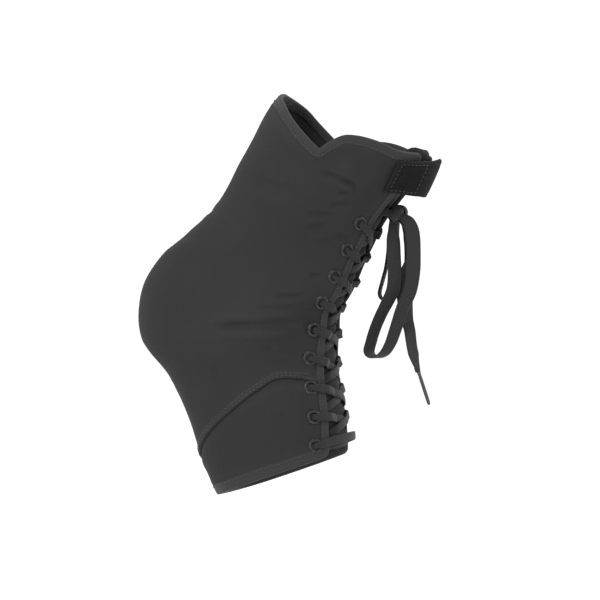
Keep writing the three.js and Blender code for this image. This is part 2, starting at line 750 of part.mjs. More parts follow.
// A free lace from its table of places
function freeLace(rows, steps, pinchedEnds) {
  const curve = new THREE.CatmullRomCurve3(
    rows.map((row) => new THREE.Vector3(row.x, row.y, row.z).add(knotPlace)),
    false,
    "centripetal",
  );
  const length = curve.getLength();
  const lengths = curve.getLengths(steps);
  return evenShares(steps).map((share, i) => {
    const turn = degToRad(smoothValue(rows.map((row) => row.turn), share * (rows.length - 1)));
    const fromStart = lengths[i] / LACE_NECK_LENGTH;
    const fromEnd = (length - lengths[i]) / LACE_NECK_LENGTH;
    const open = Math.min(1, fromStart, pinchedEnds === 2 ? fromEnd : 1);
    const tip = pinchedEnds === 1 ? Math.min(1, fromEnd) : 1;
    const full = lerp(LACE_NECK_WIDTH, LACE_WIDTH, open);
    return {
      place: curve.getPoint(share),
      width: lerp(AGLET_DIAMETER, full, tip),
      across: new THREE.Vector3(Math.cos(turn), Math.sin(turn), 0),
    };
  });
}

function aglet(name, path) {
  const [before, end] = path.slice(-2).map((station) => station.place);
  const along = end.clone().sub(before).normalize();
  const mesh = piece(
    name,
    new THREE.CylinderGeometry(AGLET_DIAMETER / 2, AGLET_DIAMETER / 2, AGLET_LENGTH, EYELET_SIDES),
    AGLET_PLASTIC,
  );
  mesh.position.copy(end).addScaledVector(along, CLEARANCE + AGLET_LENGTH / 2);
  mesh.quaternion.copy(turnTo(along));
  return mesh;
}

// The knot is a plump lozenge with sockets for the laces that come out of it
function knot(name, paths) {
  const ball = new THREE.SphereGeometry(1, KNOT_SEGMENTS, KNOT_RINGS);
  ball.scale(KNOT_DEPTH / 2, KNOT_LENGTH / 2, KNOT_HEIGHT / 2);
  const lean = formUp(knotStation, frontArc(knotStation, 0));
  ball.rotateY(Math.atan2(lean.x, lean.z));
  ball.translate(knotPlace.x, knotPlace.y, knotPlace.z);
  const sockets = paths.map((path) => ribbon(path, CLEARANCE));
  return piece(name, cut(ball, sockets), LACE_YARN);
}

const brace = new THREE.Group();
brace.name = "ankle_brace";

brace.add(quarter("outer_quarter", OUTER), quarter("inner_quarter", INNER));
brace.add(footPanel("outer_foot_panel", OUTER), footPanel("inner_foot_panel", INNER));
brace.add(tongue("tongue"), topStrap("top_strap"));
eyelets.forEach((eyelet, i) => {
  brace.add(eyeletPiece(`outer_eyelet_${i + 1}`, eyelet, OUTER));
  brace.add(eyeletPiece(`inner_eyelet_${i + 1}`, eyelet, INNER));
});

const runs = [
  laceRun("lace_run_outer", OUTER, LACE_OVER),
  laceRun("lace_run_inner", INNER, LACE_UNDER),
];
const frontLoop = freeLace(FRONT_LOOP, LOOP_STEPS, 2);
const backLoop = freeLace(BACK_LOOP, LOOP_STEPS, 2);
const frontTail = freeLace(FRONT_TAIL, TAIL_STEPS, 1);
const backTail = freeLace(BACK_TAIL, TAIL_STEPS, 1);
for (const { name, path } of runs) {
  brace.add(piece(name, ribbon(path), LACE_YARN));
}
brace.add(piece("bow_loop_front", ribbon(frontLoop), LACE_YARN));
brace.add(piece("bow_loop_back", ribbon(backLoop), LACE_YARN));
brace.add(piece("lace_tail_front", ribbon(frontTail), LACE_YARN));
brace.add(piece("lace_tail_back", ribbon(backTail), LACE_YARN));
brace.add(aglet("aglet_front", frontTail), aglet("aglet_back", backTail));
const runEnds = runs.map((run) => run.path.slice(-3));
brace.add(knot("knot", [...runEnds, frontLoop, backLoop, frontTail, backTail]));

export default brace;
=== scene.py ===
import math

import bpy
import numpy as np
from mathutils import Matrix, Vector


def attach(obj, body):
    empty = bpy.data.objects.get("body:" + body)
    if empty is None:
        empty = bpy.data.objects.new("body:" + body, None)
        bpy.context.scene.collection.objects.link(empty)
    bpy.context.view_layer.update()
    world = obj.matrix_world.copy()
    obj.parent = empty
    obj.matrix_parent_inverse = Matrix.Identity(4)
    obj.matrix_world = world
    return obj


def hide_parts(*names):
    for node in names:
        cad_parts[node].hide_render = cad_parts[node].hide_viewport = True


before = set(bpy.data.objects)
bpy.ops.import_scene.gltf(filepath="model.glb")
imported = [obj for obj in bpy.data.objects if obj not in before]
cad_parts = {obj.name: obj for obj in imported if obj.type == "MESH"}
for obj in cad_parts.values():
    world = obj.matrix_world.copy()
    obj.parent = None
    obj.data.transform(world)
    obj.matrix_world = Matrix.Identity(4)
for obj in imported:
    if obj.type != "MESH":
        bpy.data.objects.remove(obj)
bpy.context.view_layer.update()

# A charcoal lace-up ankle brace in the form that it has when worn on tiptoe. Shapes are worked out
# in millimetres, in the same frame as the frame's own solids, and turned into metres in each mesh.
MM = 0.001


def new_object(name, data):
    made = bpy.data.objects.new(name, data)
    bpy.context.scene.collection.objects.link(made)
    return made


# Level camera, a little above the origin and a little in front of the brace's outer side
VIEW_AZIMUTH = math.radians(15)
VIEW_LENS = 167
VIEW_DISTANCE = 1.7
VIEW_TARGET = (23.2, 13.4)  # millimetres to the right of the origin and above it

view_right = np.array([math.cos(VIEW_AZIMUTH), math.sin(VIEW_AZIMUTH), 0.0])
view_back = np.array([math.sin(VIEW_AZIMUTH), -math.cos(VIEW_AZIMUTH), 0.0])
target = view_right * VIEW_TARGET[0] * MM + np.array([0, 0, VIEW_TARGET[1] * MM])
camera_data = bpy.data.cameras.new("camera")
camera_data.lens = VIEW_LENS
camera_data.clip_start = 0.05
camera_data.clip_end = 40
camera = new_object("camera", camera_data)
camera.location = Vector(target + view_back * VIEW_DISTANCE)
camera.rotation_euler = (math.pi / 2, 0, VIEW_AZIMUTH)
bpy.context.scene.camera = camera

# Sizes in millimetres, with one share and one count among them
REACH = 188.0
HEIGHT = 244.0
WIDTH = 84.0
WALL = 2.2
SEAM_GAP = 0.3
FLAP_GAP = 52.0
CORNER_RADIUS = 5.0
TONGUE_THICKNESS = 4.5
TONGUE_TUCK = 11.0
TONGUE_SET_BACK = 3.0
TONGUE_CORNER = 8.0
TONGUE_TOP_DROP = 5.0
LACE_WIDTH = 8.2
LACE_PULLED_WIDTH = 5.0
LACE_BUNCHED_WIDTH = 3.4
LACE_THICKNESS = 1.3
LACE_BEND = 1.6
LACE_EDGE_MARGIN = 1.3
LACE_RIM_MARGIN = 1.2
LACE_NECK_WIDTH = 4.0
LACE_NECK_LENGTH = 12.0
CROSSING_SHARE = 0.2
EYELET_COUNT = 9
EYELET_PITCH = 17.0
EYELET_START = 9.0
EYELET_INSET = 9.5
EYELET_BORE = 4.6
EYELET_FLANGE = 8.8
STRAP_WIDTH = 22.0
STRAP_THICKNESS = 2.0
STRAP_OUTER_LENGTH = 29.0
STRAP_INNER_LENGTH = 38.0
STRAP_BELOW_TOP = 4.0
STRAP_DROP = 10.5
STRAP_END_CUT = 6.0
STRAP_STANDOFF_TOP = 2.5
STRAP_STANDOFF_BOTTOM = 8.0
KNOT_ABOVE_EYELETS = 14.0
KNOT_PROUD = 4.0
KNOT_LENGTH = 16.0
KNOT_HEIGHT = 11.0
KNOT_DEPTH = 9.0
KNOT_ENTRY = 5.3
AGLET_DIAMETER = 2.2
TAPE_WIDTH = 5.0
TAPE_THICKNESS = 0.6
TOUCH = 0.1  # between surfaces that rest on each other
CLOTH_REST = 0.75  # the strap above the cloth

# Heights of a lace's middle above the cloth's outer face
FLANGE_TOP = 1.05
LACE_ON_FLAP = TAPE_THICKNESS + TOUCH + LACE_THICKNESS / 2
LACE_ON_FLANGE = FLANGE_TOP + TOUCH + LACE_THICKNESS / 2
LACE_UNDER = -(WALL + TAPE_THICKNESS + TOUCH + LACE_THICKNESS / 2)
LACE_OVER = LACE_UNDER + LACE_THICKNESS + TOUCH
TONGUE_FACE = LACE_UNDER - LACE_THICKNESS / 2 - TOUCH

# Sections from the toe end to the top: the back point, the front point, the width, where the
# section is widest, how square its back is, and the gap between the front edges.
# They are shares of REACH, HEIGHT, WIDTH, the section's chord and FLAP_GAP.
SECTION_NAMES = ("back_x", "back_z", "front_x", "front_z", "width", "widest", "back_square", "gap")
SECTIONS = np.array([
    [-0.122, -0.43, 0.299, -0.318, 0.97, 0.4, 3.2, 1],
    [-0.168, -0.36, 0.292, -0.238, 0.95, 0.4, 3.2, 0.92],
    [-0.226, -0.24, 0.276, -0.17, 0.91, 0.42, 3, 0.82],
    [-0.297, -0.14, 0.263, -0.11, 0.88, 0.46, 2.7, 0.74],
    [-0.373, -0.075, 0.259, -0.0575, 0.88, 0.52, 2.4, 0.68],
    [-0.405, -0.033, 0.262, -0.02, 0.9, 0.55, 2.2, 0.64],
    [-0.412, 0.035, 0.27, 0.0225, 0.91, 0.58, 2.1, 0.62],
    [-0.389, 0.11, 0.3, 0.065, 0.89, 0.58, 2, 0.6],
    [-0.321, 0.18, 0.325, 0.11, 0.86, 0.56, 2, 0.58],
    [-0.22, 0.24, 0.345, 0.148, 0.84, 0.52, 2, 0.55],
    [-0.137, 0.305, 0.37, 0.19, 0.84, 0.5, 2, 0.52],
    [-0.072, 0.395, 0.405, 0.245, 0.87, 0.48, 2.1, 0.5],
    [-0.023, 0.458, 0.462, 0.3025, 0.91, 0.47, 2.1, 0.5],
    [0.025, 0.523, 0.53, 0.365, 0.95, 0.46, 2.2, 0.52],
    [0.077, 0.57, 0.588, 0.425, 0.97, 0.46, 2.2, 0.55],
])
LAST_STATION = len(SECTIONS) - 1
FRONT_SQUARE = 2.1

# The top edge behind and in front of its notch: the share round, and the drop as a share of HEIGHT
TOP_EDGE_BACK = [
    (0, 0), (0.115, 0.012), (0.23, 0.03), (0.31, 0.05), (0.385, 0.069), (0.46, 0.088), (0.543, 0.106),
]
TOP_EDGE_FRONT = [
    (0.543, 0.106), (0.572, 0.076), (0.606, 0.053), (0.655, 0.043), (0.71, 0.039), (0.77, 0.039),
    (0.86, 0.044), (0.93, 0.039), (1, 0.031),
]
NOTCH = TOP_EDGE_BACK[-1][0]
# The seam over the arch: the share round, and the station
ARCH_SEAM = [
    (0, 0.95), (0.2, 1.25), (0.36, 1.62), (0.52, 2.02), (0.66, 2.42), (0.78, 2.72), (0.88, 2.62),
    (1, 2.3),
]
# Swellings and hollows: station, share round, height as a share of WIDTH, spread, spread round
RELIEF = [
    (4.7, 0.72, 0.03, 1.1, 0.1),
    (6.3, 0.97, -0.02, 1, 0.1),
    (5.6, 0.78, -0.018, 0.35, 0.12),
    (8.7, 0.3, -0.025, 1.2, 0.13),
]

# Places along the free laces, from the knot's middle, with the direction of their width in degrees
FRONT_LOOP = [
    (3.4, -5, -1.2, 5), (8.4, -6, -4.6, 5), (10.9, -7, -12, 8), (11.6, -7.5, -24, 10),
    (11.3, -7.5, -35, 14), (9, -7.2, -47, 20), (4.7, -6.8, -56, 26), (-0.2, -6.2, -70, 35),
    (-3.8, -5.4, -79, 42), (-8.2, -3.6, -84.6, 46), (-14.4, -0.4, -86.6, 48), (-18.4, 2.4, -83.6, 48),
    (-17.4, 3.8, -77, 46), (-15.2, 3.6, -70, 42), (-10.9, 1.6, -61, 36), (-6.6, -1.2, -54, 28),
    (-2.4, -2.9, -45.5, 24), (-1.2, -3.6, -33.6, 20), (-1.6, -3.2, -24.4, 18), (-2.2, -2.6, -15.3, 15),
    (-2.6, -3, -4, 10),
]
BACK_LOOP = [
    (-1, 5.5, -2.4, 80), (-2.4, 8, -12, 85), (-2.9, 10.4, -22, 90), (-3.6, 10.4, -33, 90),
    (-5.4, 10.4, -43, 90), (-8.4, 10.4, -49.5, 90), (-11.9, 10.4, -51.5, 90), (-13.8, 10.4, -48.5, 90),
    (-12.2, 10.4, -41, 90), (-10, 10.4, -33, 90), (-8.4, 10.4, -22, 90), (-7, 8, -12, 85),
    (-4, 5.5, -2.4, 80),
]
FRONT_TAIL = [
    (1.8, 0, -3.6, 45), (6.6, -0.6, -9, 55), (10, -0.6, -16, 58), (9.8, 0, -23, 50), (7, 1.6, -30, 36),
    (3.4, 3.1, -38, 26), (2.4, 3.4, -46.5, 24), (3.3, 3.2, -55, 28), (5, 2.5, -63, 36),
    (6.9, 2, -70.5, 44), (8.2, 1.5, -79, 50), (10.2, 0.8, -87.5, 50), (13.1, 0, -96, 50),
]
BACK_TAIL = [
    (2, 4.6, -3, 50), (4.6, 7.6, -12, 50), (5.4, 8.8, -24, 50), (4.6, 9.2, -38, 50), (3.8, 9.4, -52, 50),
    (4.2, 9.4, -64, 50), (6.2, 9, -76, 50),
]

# Creases of the outer side, as lines across the side view in millimetres from the origin, each with
# its depth and half width. The inner side has its own.
OUTER_CREASES = [
    ([(-30, -2.6), (0, -1.8), (14, -1.4), (27, -2.6)], 1.3, 2.4),
    ([(8, 15.8), (18, 15.4), (28, 16.6)], 0.8, 1.5),
    ([(-4, 8.8), (10, 8.4), (24, 7.8)], 0.5, 1.6),
    ([(35, 89.5), (47.5, 85), (57, 80.6)], 1.0, 1.6),
    ([(47, 84.6), (55.5, 80.5), (57, 75.6)], 0.8, 1.2),
    ([(46, 76.8), (52, 76.4)], 0.9, 1.4),
    ([(40, 69.4), (51.5, 70)], 0.8, 1.5),
    ([(28, 64.5), (42, 63.4)], 0.8, 1.6),
    ([(27, 55), (39, 57.4)], 0.9, 1.9),
    ([(45, 52.2), (53, 48.6)], 0.9, 1.8),
    ([(34, 47.6), (44, 48)], 0.5, 1.5),
    ([(30, 27), (36, 28.6)], 0.8, 1.3),
    ([(-62, 44), (-46, 52), (-30, 52.6)], 0.6, 2.2),
    ([(-40, 70), (-26, 66)], 0.5, 2.0),
    ([(20, -34), (32, -31.8)], 0.6, 1.3),
    ([(-28, -24), (-27, -36)], 0.5, 2.0),
    ([(-6, 88), (8, 80), (24, 77)], 0.5, 3.2),
]
INNER_CREASES = [
    ([(-20, 1.5), (4, 0.4), (26, -3)], 1.2, 2.6),
    ([(4, 11), (16, 13), (29, 13)], 0.8, 1.7),
    ([(38, 86), (50, 80), (60, 79)], 0.9, 1.7),
    ([(30, 66), (45, 67)], 0.8, 1.6),
    ([(26, 54), (40, 52)], 0.9, 2.0),
    ([(-58, 40), (-44, 50), (-28, 49)], 0.7, 2.3),
    ([(-36, 74), (-20, 66)], 0.5, 2.2),
    ([(10, -42), (26, -37)], 0.6, 1.6),
    ([(-10, 92), (6, 84), (22, 82)], 0.5, 3.0),
]
# Small pits, bumps and hollows of each side: the place, the height and the radius
OUTER_DENTS = [
    (58, 106.6, -0.5, 1.2), (73, 106.6, -0.5, 1.2), (30.5, 28.6, -0.7, 1.3), (13.4, -55, -0.7, 1.4),
    (30, -53, -0.5, 1.2), (31, -31.8, -0.6, 1.3), (26, -20, -0.6, 1.4), (14, -76, -0.6, 1.5),
    (8.6, -15.4, 0.8, 2.2), (5.6, -15.4, -0.6, 1.4), (30, 0, -1.2, 9), (51, 92.6, 0.7, 4),
    (-28, 100, 0.3, 9), (-14, 6, 0.8, 20),
]
INNER_DENTS = [
    (12, -50, -0.6, 1.5), (28, -24, -0.6, 1.4), (31, 2, -1.1, 9), (50, 90, 0.7, 4), (-14, 8, 0.8, 20),
]

# How finely the cloth is divided, then the steps along laces and tapes in millimetres
CLOTH_COLUMNS = 125
QUARTER_ROWS = 205
PANEL_ROWS = 45
TONGUE_ROWS = 230
TONGUE_COLUMNS = 66
STRAP_ROWS = 40
STRAP_COLUMNS = 120
LACE_STEP = 0.8
TAPE_STEP = 0.8
LACE_SIDES = 16
UV_PER_MM = 0.1
STITCH_PITCH = 2.7
STITCH_LENGTH = 1.9
STITCH_RADIUS = 0.24

OUTER = -1
INNER = 1


def smooth_value(values, place):
    at = np.clip(place, 0, len(values) - 1)
    i = np.minimum(np.asarray(at).astype(int), len(values) - 2)
    t = at - i
    slope_in = (values[i + 1] - values[np.maximum(i - 1, 0)]) / 2
    slope_out = (values[np.minimum(i + 2, len(values) - 1)] - values[i]) / 2
    fall = values[i] - values[i + 1]
    cubic = 2 * fall + slope_in + slope_out
    square = -3 * fall - 2 * slope_in - slope_out
    return values[i] + t * (slope_in + t * (square + t * cubic))


def catmull_rom(points, steps):
    """A centripetal curve through points, with steps + 1 places evenly spaced in its parameter."""
    points = np.asarray(points, float)
    before, after = 2 * points[0] - points[1], 2 * points[-1] - points[-2]
    line = np.vstack([before, points, after])
    out = []
    for share in np.linspace(0, 1, steps + 1):
        at = share * (len(points) - 1)
        i = min(int(at), len(points) - 2)
        t = at - i
        p0, p1, p2, p3 = line[i : i + 4]
        d1 = max(np.sum((p1 - p0) ** 2) ** 0.25, 1e-4)
        d2 = max(np.sum((p2 - p1) ** 2) ** 0.25, 1e-4)
        d3 = max(np.sum((p3 - p2) ** 2) ** 0.25, 1e-4)
        m1 = ((p1 - p0) / d1 - (p2 - p0) / (d1 + d2) + (p2 - p1) / d2) * d2
        m2 = ((p2 - p1) / d2 - (p3 - p1) / (d2 + d3) + (p3 - p2) / d3) * d2
        c2 = -3 * p1 + 3 * p2 - 2 * m1 - m2
        c3 = 2 * p1 - 2 * p2 + m1 + m2
        out.append(p1 + m1 * t + c2 * t * t + c3 * t ** 3)
    return np.array(out)


def smooth_table(rows):
    dense = catmull_rom(rows, 40 * len(rows))
    return dense[:, 0], dense[:, 1]


# The smooth outer form, tabulated by station and by the share of the way from back to front
STATION_STEPS = 40
SHARE_STEPS = 320


def tabulate_form():
    stations = np.linspace(0, LAST_STATION, LAST_STATION * STATION_STEPS + 1)
    column = {n: smooth_value(SECTIONS[:, i], stations) for i, n in enumerate(SECTION_NAMES)}
    back = np.stack([column["back_x"] * REACH, column["back_z"] * HEIGHT], 1)
    front = np.stack([column["front_x"] * REACH, column["front_z"] * HEIGHT], 1)
    chord = np.linalg.norm(front - back, axis=1)
    along = (front - back) / chord[:, None]
    angle = np.linspace(0, math.pi, 721)
    form = np.zeros((len(stations), SHARE_STEPS + 1, 3))
    half = np.zeros(len(stations))
    for k in range(len(stations)):
        behind = angle < math.pi / 2
        power = 2 / np.where(behind, column["back_square"][k], FRONT_SQUARE)
        back_part = column["widest"][k] * chord[k]
        lengthways = np.abs(np.cos(angle)) ** power
        x = back_part + np.where(behind, -back_part, chord[k] - back_part) * lengthways
        y = column["width"][k] * WIDTH / 2 * np.abs(np.sin(angle)) ** power
        distance = np.concatenate([[0], np.cumsum(np.hypot(np.diff(x), np.diff(y)))])
        half[k] = distance[-1]
        at = np.linspace(0, distance[-1], SHARE_STEPS + 1)
        x, y = np.interp(at, distance, x), np.interp(at, distance, y)
        form[k, :, 0] = back[k, 0] + along[k, 0] * x
        form[k, :, 1] = y
        form[k, :, 2] = back[k, 1] + along[k, 1] * x
    return form, half, column["gap"] * FLAP_GAP / 2


FORM, HALF, HALF_GAP = tabulate_form()


def by_station(values, station):
    at = np.clip(np.asarray(station, float), 0, LAST_STATION) * STATION_STEPS
    i = np.minimum(at.astype(int), len(values) - 2)
    return values[i] + (values[i + 1] - values[i]) * (at - i)


def half_round(station):
    return by_station(HALF, station)


def half_gap(station):
    return by_station(HALF_GAP, station)


def form_point(station, arc):
    station, arc = np.broadcast_arrays(np.asarray(station, float), np.asarray(arc, float))
    share = np.abs(arc) / half_round(station)
    side = np.sign(arc) * np.where(share > 1, -1, 1)
    share = np.where(share > 1, 2 - share, share)
    at = np.clip(station, 0, LAST_STATION) * STATION_STEPS
    i = np.minimum(at.astype(int), FORM.shape[0] - 2)
    a = (at - i)[..., None]
    place = np.clip(share, 0, 1) * SHARE_STEPS
    j = np.minimum(place.astype(int), SHARE_STEPS - 1)
    b = (place - j)[..., None]
    low = FORM[i, j] * (1 - b) + FORM[i, j + 1] * b
    high = FORM[i + 1, j] * (1 - b) + FORM[i + 1, j + 1] * b
    point = low * (1 - a) + high * a
    point[..., 1] *= side
    return point


def unit(vectors):
    return vectors / np.maximum(np.linalg.norm(vectors, axis=-1, keepdims=True), 1e-12)


def side_length(station):
    """How far a side reaches round the form, from the back to its front edge."""
    return half_round(station) - half_gap(station)


def travelled(points):
    """The distance covered at each point of a line."""
    return np.concatenate([[0], np.cumsum(np.linalg.norm(np.diff(points, axis=0), axis=1))])


def sample(at, run, points):
    """Places or directions at distances along a line."""
    return np.stack([np.interp(at, run, points[:, k]) for k in range(3)], 1)


def bell(away, spread):
    return np.exp(-((away / spread) ** 2))


def form_up(station, arc):
    station = np.asarray(station, float)
    return unit(form_point(station + 0.05, arc) - form_point(station - 0.05, arc))


def form_normal(station, arc):
    arc = np.asarray(arc, float)
    around = form_point(station, arc + 1.5) - form_point(station, arc - 1.5)
    return unit(np.cross(form_up(station, arc), around))


def relief(station, arc):
    half = half_round(station)
    around = np.minimum(np.abs(arc), 2 * half - np.abs(arc)) / (half - half_gap(station))
    height = 0
    for at, share, rise, spread, spread_around in RELIEF:
        up, across = (station - at) / spread, (around - share) / spread_around
        height = height + rise * WIDTH * np.exp(-up * up - across * across)
    return height


def cloth_point(station, arc, height):
    lift = np.asarray(relief(station, arc) + height)[..., None]
    return form_point(station, arc) + form_normal(station, arc) * lift


def front_point(station, from_front, height):
    return cloth_point(station, half_round(station) - from_front, height)


def front_up(station, from_front):
    return form_up(station, half_round(station) - from_front)


edge_stations = np.linspace(0, LAST_STATION, 281)
edge_points = front_point(edge_stations, half_gap(edge_stations), 0)
edge_distances = travelled(edge_points)
EDGE_LENGTH = edge_distances[-1]


def station_up_edge(distance):
    return np.interp(distance, edge_distances, edge_stations)


def station_distance(station):
    return np.interp(station, edge_stations, edge_distances)


def ripple(points, wavelength, seed):
    """A smooth wandering height from -1 to 1, the same on each run."""
    random = np.random.default_rng(seed)
    total = 0
    for _ in range(9):
        direction = unit(random.normal(size=3))
        pitch = wavelength * random.uniform(0.7, 1.6)
        total = total + np.sin(points @ direction * (2 * math.pi / pitch) + random.uniform(0, 6.28))
    return total / 5


def distance_to_line(u, v, line):
    """How far each place is from a line of points, and the share along it of the nearest place."""
    line = catmull_rom(line, 12 * len(line))
    lengths = np.linalg.norm(np.diff(line, axis=0), axis=1)
    before = np.concatenate([[0], np.cumsum(lengths)])
    best = np.full(u.shape, 1e9)
    share = np.zeros(u.shape)
    for k, length in enumerate(lengths):
        (x0, y0), (x1, y1) = line[k], line[k + 1]
        t = np.clip(((u - x0) * (x1 - x0) + (v - y0) * (y1 - y0)) / length ** 2, 0, 1)
        away = np.hypot(u - x0 - t * (x1 - x0), v - y0 - t * (y1 - y0))
        nearer = away < best
        best = np.where(nearer, away, best)
        share = np.where(nearer, (before[k] + t * length) / before[-1], share)
    return best, share


SWELL_RISE = 0.4  # the swell beside a crease, as a share of the crease's depth
SWELL_AWAY = 2.1  # its place and its spread, in half widths of the crease
SWELL_SPREAD = 1.1
CLOTH_WAVES = ((0.28, 42, 3), (0.1, 15, 7))  # the height, the wavelength and the seed


def folds(points, side):
    """The height of creases and dents at places on one side's form."""
    u = points[..., 0] * view_right[0] + np.abs(points[..., 1]) * -view_right[1]
    v = points[..., 2]
    height = np.zeros(u.shape)
    for line, depth, half_width in OUTER_CREASES if side == OUTER else INNER_CREASES:
        away, share = distance_to_line(u, v, line)
        taper = np.clip(np.sin(math.pi * np.clip(share, 0.02, 0.98)) * 1.6, 0, 1)
        groove = bell(away, half_width)
        swell = bell(away - SWELL_AWAY * half_width, SWELL_SPREAD * half_width)
        height += depth * taper * (SWELL_RISE * swell - groove)
    for x, z, rise, radius in OUTER_DENTS if side == OUTER else INNER_DENTS:
        height += rise * np.exp(-((u - x) ** 2 + (v - z) ** 2) / radius ** 2)
    height += sum(rise * ripple(points, length, seed + side) for rise, length, seed in CLOTH_WAVES)
    return height


# Meshes
def mesh_object(name, points, faces, material, uv=None, values=None):
    """A piece from points in millimetres. values are named numbers at the points."""
    points = np.asarray(points, float).reshape(-1, 3)
    first = np.array([f[:3] for f in faces])
    a, b, c = (points[first[:, k]] - points.mean(0) for k in range(3))
    if np.sum(np.einsum("ij,ij->i", a, np.cross(b, c))) < 0:
        faces = [f[::-1] for f in faces]
    mesh = bpy.data.meshes.new(name)
    mesh.from_pydata((points * MM).tolist(), [], [list(map(int, f)) for f in faces])
    mesh.polygons.foreach_set("use_smooth", np.ones(len(mesh.polygons), bool))
    if uv is not None:
        loops = np.zeros(len(mesh.loops), int)
        mesh.loops.foreach_get("vertex_index", loops)
        layer = mesh.uv_layers.new(name="cloth")
        layer.data.foreach_set("uv", np.asarray(uv, float)[loops].ravel())
    for key, numbers in (values or {}).items():
        attribute = mesh.attributes.new(key, "FLOAT", "POINT")
        attribute.data.foreach_set("value", np.asarray(numbers, np.float32).ravel())
    mesh.update()
    piece = new_object(name, mesh)
    mesh.materials.append(material)
    return piece


def on_root(piece, node=None):
    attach(piece, "root")
    if node:
        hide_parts(node)


def slab_faces(rows, columns):
    below = np.arange(rows * columns).reshape(rows, columns)
    above = below + rows * columns
    quads = (
        (below[:-1, :-1], below[:-1, 1:], below[1:, 1:], below[1:, :-1]),
        (above[:-1, :-1], above[1:, :-1], above[1:, 1:], above[:-1, 1:]),
        (below[0, :-1], above[0, :-1], above[0, 1:], below[0, 1:]),
        (below[-1, :-1], below[-1, 1:], above[-1, 1:], above[-1, :-1]),
        (below[:-1, 0], below[1:, 0], above[1:, 0], above[:-1, 0]),
        (below[:-1, -1], above[:-1, -1], above[1:, -1], below[1:, -1]),
    )
    return [face for quad in quads for face in np.stack([q.ravel() for q in quad], 1).tolist()]


def slab(name, outer, inner, material, uv, values=None):
    """A bent sheet with thickness, from a grid of points on each of its faces."""
    rows, columns = outer.shape[:2]
    points = np.concatenate([outer.reshape(-1, 3), inner.reshape(-1, 3)])
    doubled = {k: np.concatenate([v.ravel(), v.ravel()]) for k, v in (values or {}).items()}
    flat_uv = np.concatenate([uv.reshape(-1, 2)] * 2)
    faces = slab_faces(rows, columns)
    return mesh_object(name, points, faces, material, flat_uv, doubled)


def tube_faces(count, sides, closed):
    faces = []
    for i in range(count if closed else count - 1):
        a, b = i * sides, ((i + 1) % count) * sides
        for k in range(sides):
            n = (k + 1) % sides
            faces.append([a + k, a + n, b + n, b + k])
    if not closed:
        faces.append(list(range(sides))[::-1])
        faces.append(list(range((count - 1) * sides, count * sides)))
    return faces


def circle(sides):
    return np.linspace(0, 2 * math.pi, sides, endpoint=False)


def ring(sides, first, second):
    """Directions round a circle, between two directions that are at right angles."""
    angle = circle(sides)[:, None]
    return np.cos(angle) * first + np.sin(angle) * second


def lace_profile():
    """The section of a flat lace, a flattened ring with soft edges, from -1 to 1 each way."""
    angle = circle(LACE_SIDES)
    across = np.sign(np.cos(angle)) * np.abs(np.cos(angle)) ** 0.7
    height = np.sign(np.sin(angle)) * np.abs(np.sin(angle)) ** 0.75
    return across, height


def ribbon_piece(name, path, closed=False, crown=0.0):
    """A flat lace along a path of places, widths and the directions of those widths."""
    place, width, across = path
    place = np.asarray(place, float)
    if closed:
        travel = unit(np.roll(place, -1, 0) - np.roll(place, 1, 0))
    else:
        travel = unit(np.gradient(place, axis=0))
    across = unit(across - travel * np.sum(across * travel, 1, keepdims=True))
    face = np.cross(across, travel)
    a, h = lace_profile()
    count, sides = len(place), len(a)
    lift = h * LACE_THICKNESS / 2 + crown * (1 - a ** 2)
    points = place[:, None] + across[:, None] * (a[None, :, None] * np.asarray(width)[:, None, None] / 2)
    points = points + face[:, None] * lift[None, :, None]
    run = travelled(place)
    uv = np.stack(np.broadcast_arrays(a[None, :] * 0.5 + 0.5, run[:, None] * UV_PER_MM), 2).reshape(-1, 2)
    faces = tube_faces(count, sides, closed)
    # Painted shade: a lace is painted darker along its rounded edges.
    edge = np.broadcast_to(np.abs(a)[None, :] ** 6, (count, sides))
    return mesh_object(name, points, faces, LACE, uv, {"edge": edge})


def resample(places, widths, acrosses, step):
    """A smooth path through rough ones, with evenly spaced places."""
    places = np.asarray(places, float)
    gaps = np.linalg.norm(np.diff(places, axis=0), axis=1)
    keep = np.concatenate([[True], gaps > 0.05])
    places = places[keep]
    widths = np.asarray(widths, float)[keep]
    acrosses = np.asarray(acrosses, float)[keep]
    per_gap = 8
    dense = catmull_rom(places, per_gap * (len(places) - 1))
    run = travelled(dense)
    count = max(2, int(run[-1] / step))
    at = np.linspace(0, run[-1], count + 1)
    parameter = np.interp(at, run, np.arange(len(dense)) / per_gap)
    index = np.arange(len(places))
    place = sample(at, run, dense)
    width = np.interp(parameter, index, widths)
    across = sample(parameter, index, acrosses)
    return place, width, unit(across), run[-1]


